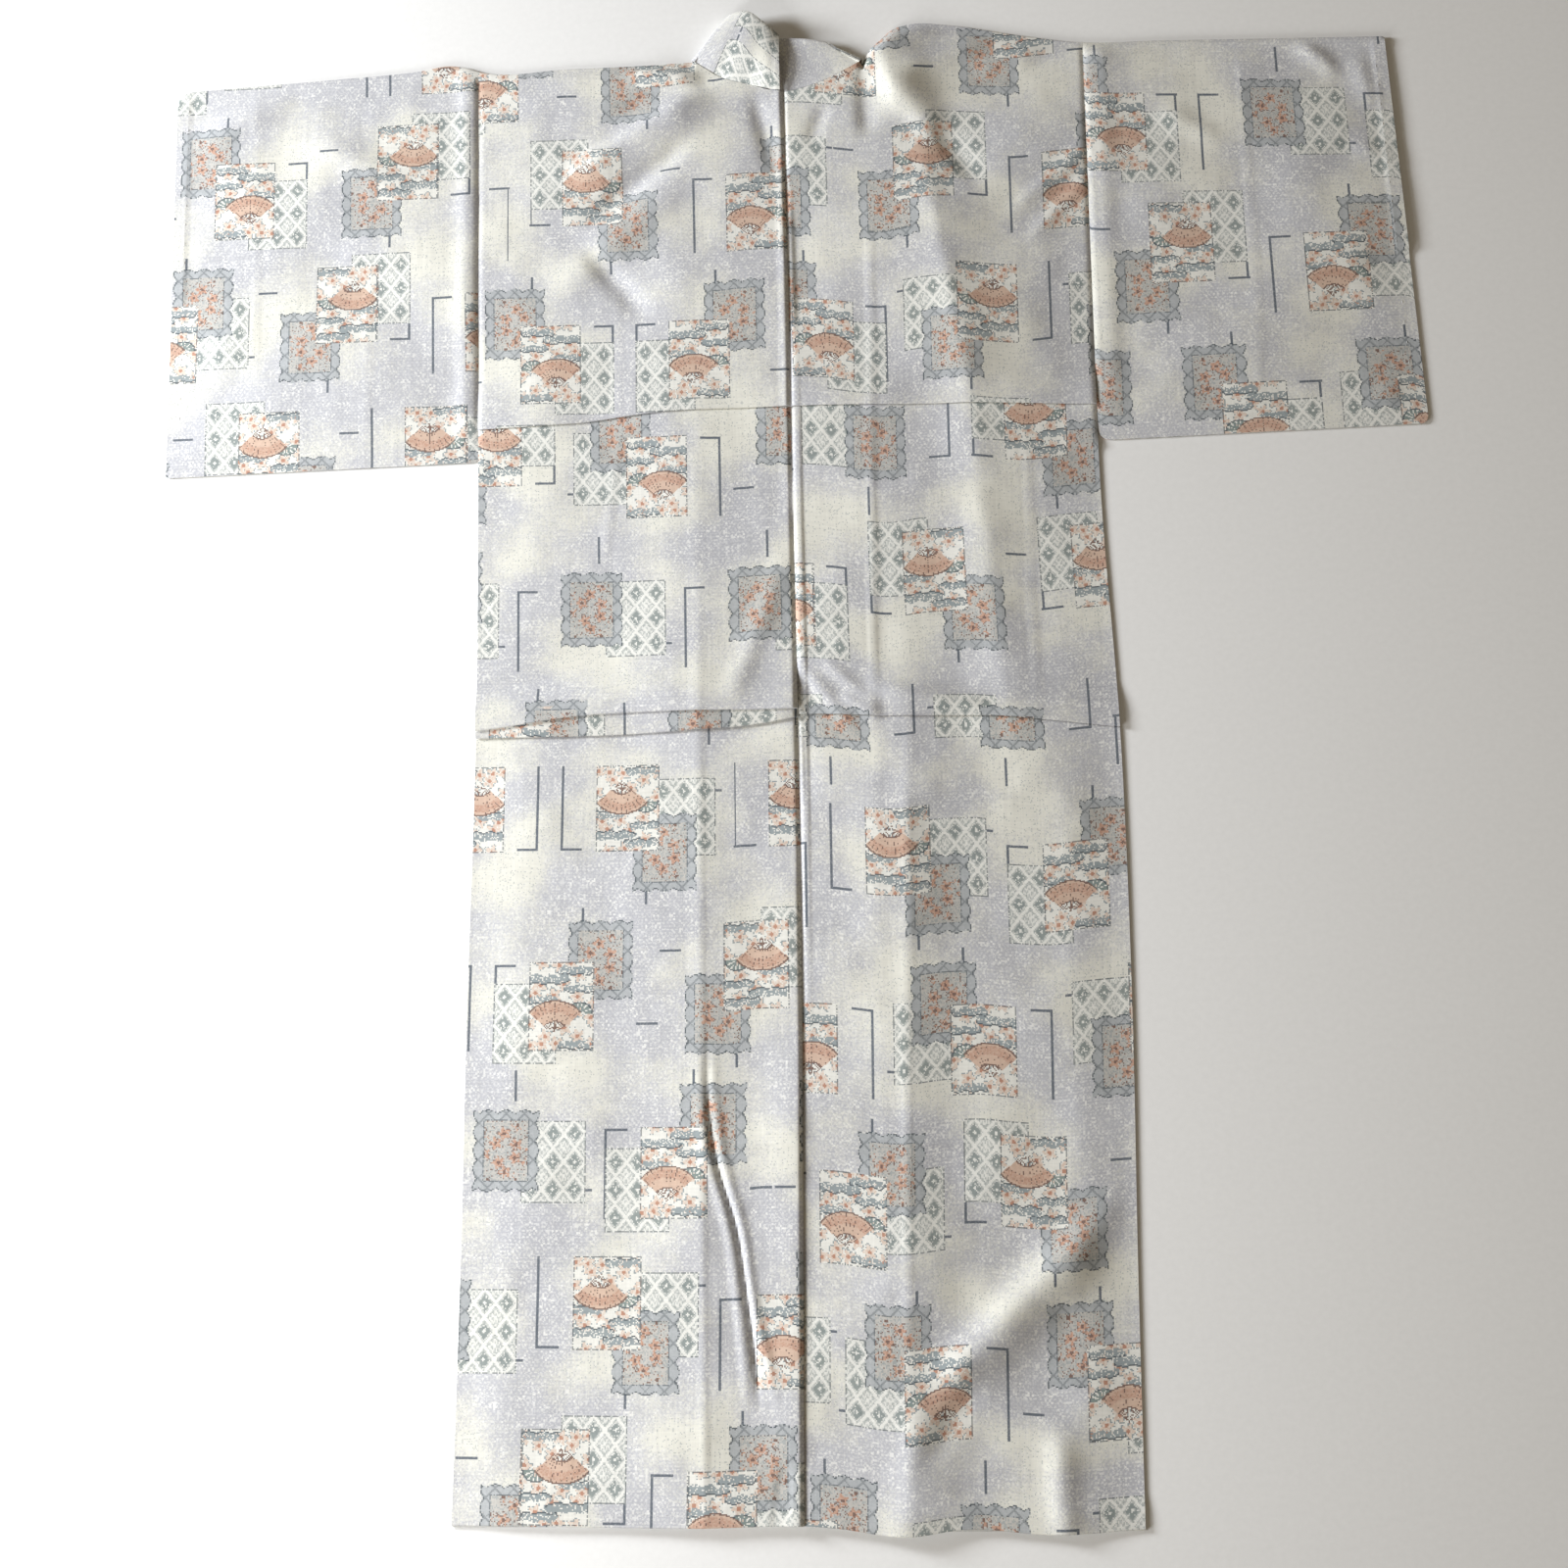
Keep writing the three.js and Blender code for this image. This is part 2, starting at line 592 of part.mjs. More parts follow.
function piece(name, geometry) {
  geometry.computeVertexNormals();
  const mesh = new THREE.Mesh(geometry, new THREE.MeshStandardMaterial(CLOTH));
  mesh.name = name;
  return mesh;
}

const yukata = new THREE.Group();
yukata.add(
  piece('body_left', bodyLength(-1)),
  piece('body_right', bodyLength(1)),
  piece('overlap_left', frontOverlap(-1)),
  piece('overlap_right', frontOverlap(1)),
  piece('collar_left', collarHalf(-1)),
  piece('collar_right', collarHalf(1)),
  piece('sleeve_left', sleeve(SLEEVES.left)),
  piece('sleeve_right', sleeve(SLEEVES.right)),
);
yukata.position.set(-CENTRE_OF_PART.x, -CENTRE_OF_PART.y, 0);

export default yukata;
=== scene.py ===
"""A printed cotton yukata laid flat with its back up.

Each length of cloth is laid out as a grid of points in the places that the construction gives it, in
millimetres, and then closed into a thin shell. X runs from the wearer's left to the wearer's right, Y from
the hem to the collar, with the shoulder line at 0, until the points are moved into the part's own frame.
"""

from collections import namedtuple
from functools import reduce
from math import pi, radians
from operator import or_

import bmesh
import bpy
import numpy as np
from mathutils import Matrix, Vector


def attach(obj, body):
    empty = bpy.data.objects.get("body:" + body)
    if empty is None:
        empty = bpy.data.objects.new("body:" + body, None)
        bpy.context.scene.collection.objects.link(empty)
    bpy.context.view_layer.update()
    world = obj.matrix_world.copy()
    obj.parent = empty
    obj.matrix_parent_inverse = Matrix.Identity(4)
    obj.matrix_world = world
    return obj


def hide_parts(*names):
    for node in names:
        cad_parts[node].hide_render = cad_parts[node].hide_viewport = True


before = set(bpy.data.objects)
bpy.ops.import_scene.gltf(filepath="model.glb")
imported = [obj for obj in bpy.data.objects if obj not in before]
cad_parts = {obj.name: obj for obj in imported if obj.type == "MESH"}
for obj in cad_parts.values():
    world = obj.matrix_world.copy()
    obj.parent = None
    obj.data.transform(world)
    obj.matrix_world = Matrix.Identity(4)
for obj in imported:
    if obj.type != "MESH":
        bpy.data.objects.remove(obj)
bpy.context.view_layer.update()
bpy.ops.object.select_all(action="DESELECT")

MM = 0.001
CENTRE_OF_PART = Vector((1, -696, 0))

# Sizes, as in the construction

WALL = 1.2
LAYER_GAP = 0.4
LAYER = WALL + LAYER_GAP
COLLAR_WALL = 2
FRONT_Z = WALL / 2
BACK_Z = FRONT_Z + LAYER
OVER_LEFT_FRONT = COLLAR_WALL + LAYER_GAP
OVER_BOTH_FRONTS = 2 * OVER_LEFT_FRONT - LAYER
NECK_HALF = 88
FRONT_INNER = 65
FRONT_EDGE = 87
COLLAR_WIDTH = 55
KENSAKI_Y = -230
COLLAR_END_Y = -675
COLLAR_END_SEAM = FRONT_EDGE - COLLAR_WIDTH
CUFF_OPENING = 230
ARMHOLE_END_Y = -422
TUCK_DEPTH = 15

# The cloth itself

CLOTH = 0.45
PLY = 0.95
STEP = 4.5
HIDDEN_STEP = 16
SEAM_GAP = 0.5

SIDES = {
    "y": (-1445, -1200, -980, -700, -480, -250, 40),
    "left": (-314, -309, -307, -302, -303, -306, -310),
    "centre": (6, 9, 11, 11, 9, 8, 4),
    "right": (309, 313, 318, 318, 310, 310, 311),
}
LEFT_SHOULDER = {
    "x": (-630, -586, -462, -369, -338, -326, -309, -215, -124, -88),
    "y": (-4, -2, 3, 8, 12, 10, 4, 2, 2, 3),
}
NECKLINE = {
    "x": (-88, -53, -28, 4, 37, 57, 88),
    "y": (3, -20, -28, -37, -31, -23, -7),
}
RIGHT_SHOULDER = {
    "x": (88, 94, 107, 118, 133, 178, 238, 311, 385, 503, 630),
    "y": (-7, 5, 18, 28, 33, 30, 17, 4, 2, -2, -6),
}
HEM = {
    "x": (-314, -100, 30, 98, 150, 228, 309),
    "y": (-1431, -1434, -1434, -1442, -1436, -1441, -1437),
}
# The tucks' fold edges, and the flap of the lower left one, which has slipped out below its edge
TUCK_EDGES = {
    "lower_left": {"x": (-314, -299, -192, -97, -6, 14), "y": (-696, -695, -683, -682, -683, -683)},
    "lower_left_flap": {"x": (-314, -299, -192, -97, -7, 14), "y": (-702, -702, -703, -701, -694, -690)},
    "lower_right": {"x": (4, 12, 92, 186, 318), "y": (-688, -688, -692, -694, -708)},
    "upper_left": {"x": (-314, -203, -125, -7, 14), "y": (-387, -384, -377, -376, -376)},
    "upper_right": {"x": (4, 12, 119, 318), "y": (-376, -376, -378, -384)},
}
Sleeve = namedtuple("Sleeve", "side mouth_top mouth_bottom bottom_in bottom_out top inner outer")
SLEEVES = {
    -1: Sleeve(-1, -626, -622, -420, -425, 12, 1, 2),
    1: Sleeve(1, 612, 628, -421, -416, 2, 12, 7),
}

# Soft folds of the upper layer, each a ridge or, with a negative rise, a trough from its upper end to its
# lower one. Some slope off more gently on the far side, the one on the right of the picture, and some have a
# sharper crest, with a lower power.
Fold = namedtuple("Fold", "x1 y1 x2 y2 half rise far power", defaults=(None, 2))
FOLDS = [Fold(*row) for row in (
    (-150, -4, -86, -20, 9, 4),
    (-60, -18, -158, -44, 7, -3),
    (-88, -44, -204, -116, 13, 6, 24),
    (-96, -92, -182, -160, 11, -3.6),
    (-112, -140, -218, -238, 20, 3.5),
    (-196, -200, -139, -269, 11, -3),
    (-21, -46, -4, -123, 9, -2.6),
    (17, -168, 20, -290, 6, -2.4, 30),
    (87, -16, 90, -84, 8, -2.6, 12),
    (48, -58, 34, -92, 8, -1.8),
    (104, 20, 122, -60, 10, 4, 46),
    (305, -116, 236, -176, 6, 1.6, 9),
    (306, -148, 252, -206, 5, 1.3, 8),
    (206, -22, 262, -8, 8, 1.8, 14),
    (132, -16, 205, 1, 10, 3),
    (112, -26, 162, -96, 13, 4.5, 22),
    (160, -84, 196, -140, 9, -2.6, 16),
    (146, -120, 184, -350, 38, 9, 50, 1.3),
    (182, -345, 214, -695, 30, 5, 34, 1.5),
    (-86, -600, -84, -1445, 60, 2.4, 28, 1.15),
    (118, -712, 100, -1448, 50, 5, 80, 1.15),
    (-4, -545, -50, -665, 12, 2.2),
    (57, -673, 86, -692, 6, 2.4),
    (20, -646, 62, -702, 5, 1.9, 8),
    (38, -636, 88, -684, 6, 1.6),
    (16, -640, 19, -770, 4, -1.4, 14),
    (88, -668, 190, -684, 10, 3.4),
    (-9, -1385, -16, -1440, 6, -2.2),
    (305, -1151, 251, -1202, 18, 5.5, 24),
    (255, -1198, 195, -1254, 19, 7.5, 26),
    (198, -1250, 138, -1312, 19, 7.5, 26),
    (167, -1306, 120, -1375, 12, -2),
    (114, -1330, 98, -1445, 16, 3.6, 34),
    (236, -1360, 238, -1445, 12, 4, 15),
    (-600, -60, -520, -30, 18, 3),
    (-470, -70, -392, -120, 18, 2.5),
    (527, -8, 561, -41, 9, 3),
    (391, -79, 439, -108, 12, 2.4),
    (574, -408, 614, -365, 11, 3),
    (584, -30, 597, -79, 10, 3),
    (578, -125, 615, -140, 9, 2),
)]
# A deep pinched crease in the left of the skirt, with a ridge on each side of it: its lines from the hem up,
# the rise and half width of each, and where it comes up at the bottom and runs out at the top
PINCH = {
    "y": (-1345, -1300, -1240, -1172, -1109, -1043, -980),
    "left_ridge": (-43, -45, -51, -60, -78, -86, -84),
    "right_ridge": (-14, -22, -36, -46, -63, -71, -70),
    "crease": (-31, -35, -42, -52, -70, -78, -77),
}
PINCH_PROFILE = {"left_ridge": (1.4, 4), "right_ridge": (1.6, 4.4), "crease": (-2.8, 2)}
PINCH_START_Y = (-1345, -1285)
PINCH_END_Y = (-1100, -985)
# Creases left by folding the robe away: sharp, straight and low
PRESS_LINES = [Fold(*row) for row in (
    (91, -190, 85, -662, 2.6, 0.9),
    (116, -720, 101, -1320, 2.6, 0.7),
    (-83, -610, -82, -1440, 2.6, 0.5),
    (-164, -409, -175, -516, 2.2, 0.7),
    (-160, -60, -164, -400, 2.2, 0.4),
    (-541, -15, -535, -300, 2.4, 0.6),
    (-420, -20, -418, -400, 2.4, 0.4),
    (468, -20, 470, -400, 2.4, 0.5),
    (240, -420, 240, -690, 2.2, 0.5),
    (-300, -1100, 0, -1096, 2.2, 0.5),
    (12, -1096, 310, -1100, 2.2, 0.5),
)]


def smooth(places, values):
    """A rounded curve through the values at the places."""
    places, values = np.array(places, float), np.array(values, float)
    slopes = np.gradient(values, places)

    def at(where):
        where = np.clip(where, places[0], places[-1])
        i = np.clip(np.searchsorted(places, where) - 1, 0, len(places) - 2)
        width = places[i + 1] - places[i]
        t = (where - places[i]) / width
        low = (values[i] * (1 + 2 * t) + slopes[i] * width * t) * (1 - t) ** 2
        high = (values[i + 1] * (3 - 2 * t) - slopes[i + 1] * width * (1 - t)) * t**2
        return low + high

    return at


def fade(start, end, value):
    """0 up to the start, 1 from the end on, and an even curve between."""
    t = np.clip((value - start) / (end - start), 0, 1)
    return t * t * (3 - 2 * t)


def mix(a, b, share):
    return a + (b - a) * share


LEFT_SIDE, CENTRE_SEAM, RIGHT_SIDE = (smooth(SIDES["y"], SIDES[k]) for k in ("left", "centre", "right"))
SHOULDERS = {
    -1: smooth(LEFT_SHOULDER["x"], LEFT_SHOULDER["y"]),
    1: smooth(RIGHT_SHOULDER["x"], RIGHT_SHOULDER["y"]),
}
NECK_CURVE = smooth(NECKLINE["x"], NECKLINE["y"])
HEM_CURVE = smooth(HEM["x"], HEM["y"])
TUCK_CURVES = {name: smooth(edge["x"], edge["y"]) for name, edge in TUCK_EDGES.items()}


def side_at(side, y):
    return LEFT_SIDE(y) if side < 0 else RIGHT_SIDE(y)


def top_at(x):
    """The upper edge of the robe: the neckline between the neck points, and the shoulder fold outside."""
    shoulder = SHOULDERS[-1 if x < 0 else 1]
    return float(NECK_CURVE(x) if abs(x) < NECK_HALF else shoulder(x))


# How the cloth lies

NOISE_CELLS = 64


def soft_noise(x, y, spacing, seed):
    """A smooth unevenness between -1 and 1, with its hills about a spacing apart."""
    heights = np.random.default_rng(seed).uniform(-1, 1, (NOISE_CELLS, NOISE_CELLS))
    gx, gy = x / spacing, y / spacing
    ix, iy = np.floor(gx).astype(int), np.floor(gy).astype(int)
    tx, ty = fade(0, 1, gx - ix), fade(0, 1, gy - iy)

    def corner(i, j):
        return heights[(ix + i) % NOISE_CELLS, (iy + j) % NOISE_CELLS]

    low = mix(corner(0, 0), corner(1, 0), tx)
    high = mix(corner(0, 1), corner(1, 1), tx)
    return mix(low, high, ty)


def fold_heights(folds, x, y):
    """The heights of the folds at the points, each fold tapering off towards its ends."""
    height = np.zeros_like(x)
    for fold in folds:
        dx, dy = fold.x2 - fold.x1, fold.y2 - fold.y1
        length = np.hypot(dx, dy)
        along = ((x - fold.x1) * dx + (y - fold.y1) * dy) / length**2
        away = ((x - fold.x1) * dy - (y - fold.y1) * dx) / length
        run_out = 0.9 * fold.half / length + 0.12
        taper = fade(-run_out, run_out, along) * fade(-run_out, run_out, 1 - along)
        half = np.where(away < 0, fold.far or fold.half, fold.half)
        height += fold.rise * taper * np.exp(-(np.abs(away / half) ** fold.power))
    return height


def pinched(x, y):
    """The height that the pinched crease adds."""
    height = 0
    for line, (rise, half) in PINCH_PROFILE.items():
        away = x - smooth(PINCH["y"], PINCH[line])(y)
        height += rise * np.exp(-((away / half) ** 2))
    return fade(*PINCH_START_Y, y) * (1 - fade(*PINCH_END_Y, y)) * height


# Each size of unevenness: its height, its spacing and its seed
UNEVENNESS = [(1.7, 110, 3), (0.8, 47, 5), (0.28, 19, 7)]

# How high the cloth lies on average, and how much higher at the chest, where it is looser
LOOSE = 1.1
LOOSE_AT_CHEST = 2
CHEST_FROM_Y = (-450, -330)
CHEST_TO_X = (240, 312)
LOWEST = -0.9


def relief(x, y):
    """How the upper layer stands above its lowest place: folds, old creases and a slight unevenness."""
    wavy = sum(height * soft_noise(x, y, spacing, seed) for height, spacing, seed in UNEVENNESS)
    folded = fold_heights(FOLDS, x, y) + fold_heights(PRESS_LINES, x, y) + pinched(x, y)
    at_chest = fade(*CHEST_FROM_Y, y) * (1 - fade(*CHEST_TO_X, np.abs(x)))
    return np.maximum(LOOSE + LOOSE_AT_CHEST * at_chest + wavy + folded, LOWEST)


LEFT_FREE_EDGE = {
    "y": (COLLAR_END_Y, KENSAKI_Y, 0),
    "x": (FRONT_EDGE, COLLAR_WIDTH - FRONT_INNER, COLLAR_WIDTH - NECK_HALF),
}
FRONT_SEAM = {"y": (COLLAR_END_Y, KENSAKI_Y, 0), "x": (COLLAR_END_SEAM, -FRONT_INNER, -NECK_HALF)}
CROSSING = (3, 46)


def front_height(side, x, y):
    """The middle of a front layer: the left one lies on the floor, and the right one crosses over it."""
    if side < 0:
        return np.full_like(x, FRONT_Z)
    past = x - np.interp(y, LEFT_FREE_EDGE["y"], LEFT_FREE_EDGE["x"])
    return FRONT_Z + OVER_LEFT_FRONT * (1 - fade(*CROSSING, past))


# The fronts' straight edges show through the skirt as a step, and everywhere the back slopes off beyond them
STEP_HALF = (82, 99)
SLOPE_HALF = (95, 172)
STEP_SHARE = 0.2
STEP_ENDS_Y = (-430, -300)
# The groove of a seam, how much of it an armhole seam has, and the width of the strip pressed up beside it
SEAM_DIP = 2.2
SEAM_DIP_HALF = 2.3
ARMHOLE_SHARE = 0.6
SEAM_PRESSED = 9
# How far the left panel's edge stands up along the centre seam, and the strip right of it, from the hem up
SEAM_EDGE = {
    "y": (-1445, -1300, -1050, -900, -760, -400, -300, -60),
    "edge": (2.8, 3.2, 3.2, 1.6, 0.7, 0.8, 1.1, 1.1),
    "strip": (0, 0, 0, 0.3, 0.7, 0.6, 0, 0),
}
# Where that edge starts to climb, below the lower tuck and above the upper one, and where it ends
EDGE_CLIMB_FROM = (-50, -12)
EDGE_CLIMB_Y = (-760, -400)
EDGE_END = -1.2
# The height at a sewn edge, and how far from it the cloth has come up to its own height
SEWN_Z = FRONT_Z + CLOTH + 0.05
SEWN_SLOPE = 60
CLEAR = 0.15
COLLAR_PLIES = 1.1


def beside_seam(distance):
    """1 in the bottom of the groove that a seam makes, and 0 away from it."""
    return np.exp(-((distance / SEAM_DIP_HALF) ** 2))


def highest_beneath(x, y):
    """The middle of the highest cloth under the back: the right front, and its collar that crosses over."""
    free_edge = -np.interp(y, LEFT_FREE_EDGE["y"], LEFT_FREE_EDGE["x"])
    on_right = fade(free_edge - 9, free_edge - 4, x)
    collar = on_right * (1 - fade(COLLAR_WIDTH, COLLAR_WIDTH + 8, x - free_edge))
    collar = collar * fade(COLLAR_END_Y - 12, COLLAR_END_Y - 6, y)
    return mix(FRONT_Z, front_height(1, x, y), on_right) + COLLAR_PLIES * collar


def back_height(x, y):
    """The middle of the upper layer of cloth, over the crossed fronts near the centre."""
    off_centre = np.abs(x)
    step = STEP_SHARE * (1 - fade(*STEP_ENDS_Y, y))
    lift = mix(1 - fade(*SLOPE_HALF, off_centre), 1 - fade(*STEP_HALF, off_centre), step)
    right_of_seam = x - CENTRE_SEAM(y)
    inside = np.minimum(np.abs(x - LEFT_SIDE(y)), np.abs(x - RIGHT_SIDE(y)))
    edge_rise, strip_rise = (smooth(SEAM_EDGE["y"], SEAM_EDGE[line])(y) for line in ("edge", "strip"))
    pressed = strip_rise * fade(0, 1.5, right_of_seam)
    pressed = pressed * (1 - fade(SEAM_PRESSED, SEAM_PRESSED + 2, right_of_seam))
    climb = fade(mix(*EDGE_CLIMB_FROM, fade(*EDGE_CLIMB_Y, y)), EDGE_END, right_of_seam)
    folded_edge = edge_rise * climb * (1 - fade(EDGE_END, 0, right_of_seam))
    along_armhole = ARMHOLE_SHARE * beside_seam(inside) * fade(ARMHOLE_END_Y - 6, ARMHOLE_END_Y + 6, y)
    groove = SEAM_DIP * (beside_seam(right_of_seam - 0.6) + along_armhole)
    height = BACK_Z + OVER_BOTH_FRONTS * lift + relief(x, y) + pressed + folded_edge - groove
    height = np.maximum(height, highest_beneath(x, y) + CLOTH + CLEAR)
    sewn = (1 - fade(0, SEWN_SLOPE, inside)) * (1 - fade(ARMHOLE_END_Y - 12, ARMHOLE_END_Y, y))
    return mix(height, SEWN_Z, sewn)


def back_at(x, y):
    """The height of the upper layer at one point."""
    return float(back_height(np.array([x]), np.array([y]))[0])


# Making a length of cloth

SMOOTH_ANGLE = radians(60)
PACE_STEPS = 600


def part_place(points):
    """Points in the robe's own millimetres, in the part's frame and in metres."""
    return (np.asarray(points) - np.array(CENTRE_OF_PART)) * MM


def cut_lengths(rows):
    """How far along the cloth each point lies from its first row, measured on the cloth."""
    steps = np.linalg.norm(np.diff(rows, axis=0), axis=2)
    return np.vstack([np.zeros(rows.shape[1]), np.cumsum(steps, axis=0)])


def lay_cloth(name, rows, across, along, materials, keep):
    """A grid of cloth is cut flat, each point goes to its place, and a thin wall is closed around it.

    rows[r, c] are places in millimetres. across and along are the same points' places on the uncut cloth.
    """
    count_along, count_across = rows.shape[:2]
    bpy.ops.object.select_all(action="DESELECT")
    bpy.ops.mesh.primitive_grid_add(
        x_subdivisions=count_across - 1,
        y_subdivisions=count_along - 1,
        size=1,
        calc_uvs=True,
    )
    piece = bpy.context.object
    piece.name = piece.data.name = name
    mesh = piece.data
    flat = np.empty(len(mesh.vertices) * 3)
    mesh.vertices.foreach_get("co", flat)
    flat = flat.reshape(-1, 3)
    column = np.rint((flat[:, 0] + 0.5) * (count_across - 1)).astype(int)
    row = np.rint((flat[:, 1] + 0.5) * (count_along - 1)).astype(int)
    mesh.vertices.foreach_set("co", part_place(rows[row, column]).ravel())

    corners = np.empty(len(mesh.loops), int)
    mesh.loops.foreach_get("vertex_index", corners)
    print_map = mesh.uv_layers[0]
    print_map.name = "Print"
    on_cut = np.stack([across[row, column], along[row, column]], axis=1) * MM
    print_map.data.foreach_set("uv", on_cut[corners].ravel())

    if keep is not None:
        trim(mesh, row, column, keep)
    for material in materials:
        mesh.materials.append(material)
    shell = piece.modifiers.new("wall", "SOLIDIFY")
    shell.thickness = CLOTH * MM
    shell.offset = 0
    shell.material_offset = len(materials) - 1
    bpy.ops.object.modifier_apply(modifier=shell.name)
    bpy.ops.object.shade_smooth_by_angle(angle=SMOOTH_ANGLE)
    return piece


def trim(mesh, row, column, keep):
    """Cut away the cells of the grid that keep turns down."""
    shape = bmesh.new()
    shape.from_mesh(mesh)
    unwanted = []
    for face in shape.faces:
        first_row = min(row[v.index] for v in face.verts)
        first_column = min(column[v.index] for v in face.verts)
        if not keep(first_row, first_column):
            unwanted.append(face)
    bmesh.ops.delete(shape, geom=unwanted, context="FACES")
    shape.to_mesh(mesh)
    shape.free()


def spaced(start, end, step):
    """Values from start to end, about a step apart, without the end."""
    count = max(1, int(round(abs(end - start) / step)))
    return np.linspace(start, end, count, endpoint=False)


def paced(start, end, count, busy):
    """Values from start to end, closer together by the times given in each busy stretch."""
    fine = np.linspace(start, end, PACE_STEPS)
    pace = np.ones_like(fine)
    for low, high, times in busy:
        inside = (fine > min(low, high)) & (fine < max(low, high))
        pace = np.where(inside, np.maximum(pace, times), pace)
    done = np.concatenate([[0], np.cumsum((pace[1:] + pace[:-1]) / 2)])
    return np.interp(np.linspace(0, done[-1], count), done, fine)


def facing(rows, across, row, upward):
    """Turn the columns round where needed, so that the cloth's face looks up, or down, at a row."""
    middle = rows.shape[1] // 2
    sideways = rows[row, middle + 1] - rows[row, middle]
    onward = rows[row + 1, middle] - rows[row, middle]
    if (np.cross(sideways, onward)[2] > 0) == upward:
        return rows, across
    return rows[:, ::-1], across[:, ::-1]


# Body lengths

TURN_STEPS = 4


def half_turn(y, z_from, z_to, bulge):
    """The points of a fold in the cloth, from one height to another round an edge."""
    angle = np.linspace(0, pi, TURN_STEPS + 1)
    radius = abs(z_to - z_from) / 2
    return y + bulge * radius * np.sin(angle), mix(z_from, z_to, (1 - np.cos(angle)) / 2)


def tuck_route(ground, turns, ply):
    """The cloth's way through a tuck: up under the layer above, and to and fro between the turns."""
    ys, zs = [], []
    height = ground
    for i, y in enumerate(turns):
        fold_y, fold_z = half_turn(y, height, height + ply, 1 if i % 2 == 0 else -1)
        ys.append(fold_y)
        zs.append(fold_z)
        height += ply
    return ys, zs, height


def tucks_of(side):
    """The turning places of the lower and the upper tuck, as curves across the body."""
    if side > 0:
        names = (["lower_right"], ["upper_right"])
    else:
        names = (["lower_left_flap", "lower_left"], ["upper_left"])
    return [[TUCK_CURVES[name] for name in tuck] for tuck in names]


# How deep a tuck with one or two turns reaches under, how thick each of its plies lies, and how far above it
# the cloth comes down again
TUCK_DEPTHS = {1: TUCK_DEPTH, 2: 21}
TUCK_PLIES = {1: 1.1, 2: 1.45}
TUCK_RUN_OUT = 46
# Stretches where the rows lie closer together, and by how many times
BUSY_ROWS = [(-1445, -1428, 2.5), (-1340, -1020, 2.0), (-745, -640, 1.5)]
# Rows from the back hem through both tucks to the shoulder, and down the front past the overlap's point
ROW_COUNTS = (int(735 / STEP) + 50, int(315 / STEP), int(380 / STEP), 16, int(1200 / HIDDEN_STEP))
# Columns past the neck point, and the widths at the side and the centre seam where columns lie closer
PAST_NECK_COLUMNS = {-1: 38, 1: 28}
SIDE_STRIP = 12
SEAM_STRIP = 14
CREASED_STRIP = (92, 18)
CREASED_TIMES = {-1: 1.7, 1: 1.0}
CENTRE_LAP = {-1: 0.8, 1: 0}
HEM_DEPTH = 12
HEM_LIFT = 1.0
HEM_RUN_OUT = 2.6 * HEM_DEPTH
# The fold over the shoulder, and how far below it the back comes down to it
SHOULDER_RADIUS = (BACK_Z - FRONT_Z + PLY) / 2
SHOULDER_SLOPE = 12


def body_route(side, share, neck_share):
    """One thread of a body length, from the back hem through both tucks, over the shoulder to the front."""

    def x_at(y):
        return mix(side_at(side, y), CENTRE_SEAM(y) + CENTRE_LAP[side], share)

    ys, zs = [], []
    start = float(HEM_CURVE(x_at(HEM["y"][0])))
    lift, lifted_from = 0, start
    hem_z = back_at(x_at(start), start)
    hem_y, turn_z = half_turn(start, hem_z + HEM_LIFT - PLY, hem_z + HEM_LIFT, -1)
    ys += [np.array([start + HEM_DEPTH, start + HEM_DEPTH / 2]), hem_y]
    zs += [np.full(2, hem_z + HEM_LIFT - PLY), turn_z]
    start += 0.6
    for edges, count in zip(tucks_of(side), ROW_COUNTS):
        turns = [float(edge(x_at(edge(0)))) for edge in edges]
        lowest = turns[0]
        y = paced(start, lowest - 1, count, BUSY_ROWS)
        turned_up = 0 if lift else HEM_LIFT * (1 - fade(HEM_DEPTH, HEM_RUN_OUT, y - y[0]))
        laid_over = lift * (1 - fade(TUCK_DEPTH, TUCK_RUN_OUT, y - lifted_from))
        zs.append(back_height(x_at(y), y) + laid_over + turned_up)
        ys.append(y)
        ground = back_at(x_at(lowest), lowest)
        deepest = sum(turns) / len(turns) + TUCK_DEPTHS[len(turns)]
        places = [place for turn in turns for place in (deepest, turn)]
        fold_y, fold_z, height = tuck_route(ground, places, TUCK_PLIES[len(turns)])
        ys += fold_y
        zs += fold_z
        lift, lifted_from = height - ground, turns[-1]
        start = turns[-1] + 2
    shoulder_x = float(x_at(0))
    folded = share <= neck_share
    top = top_at(shoulder_x) - (SHOULDER_RADIUS if folded else 0)
    y = np.linspace(start, top, ROW_COUNTS[2])
    z = back_height(x_at(y), y) + lift * (1 - fade(TUCK_DEPTH, TUCK_RUN_OUT, y - lifted_from))
    if folded:
        z = mix(z, FRONT_Z + 2 * SHOULDER_RADIUS, fade(top - SHOULDER_SLOPE, top, y))
    ys.append(y)
    zs.append(z)
    fold_y, fold_z = half_turn(top, z[-1], FRONT_Z, 1 if folded else 0)
    ys.append(fold_y)
    zs.append(fold_z)
    y, z = np.concatenate(ys), np.concatenate(zs)
    back = np.stack([x_at(y), y, z], axis=1)

    inner = min(share / neck_share, 1)
    y = np.concatenate([
        np.linspace(top, KENSAKI_Y, ROW_COUNTS[3])[1:],
        np.linspace(KENSAKI_Y, float(HEM_CURVE(side * FRONT_INNER)), ROW_COUNTS[4])[1:],
    ])
    inner_x = side * -np.interp(np.maximum(y, KENSAKI_Y), FRONT_SEAM["y"], FRONT_SEAM["x"])
    x = mix(side_at(side, y), inner_x, inner)
    front = np.stack([x, y, front_height(side, x, y)], axis=1)
    return back, front


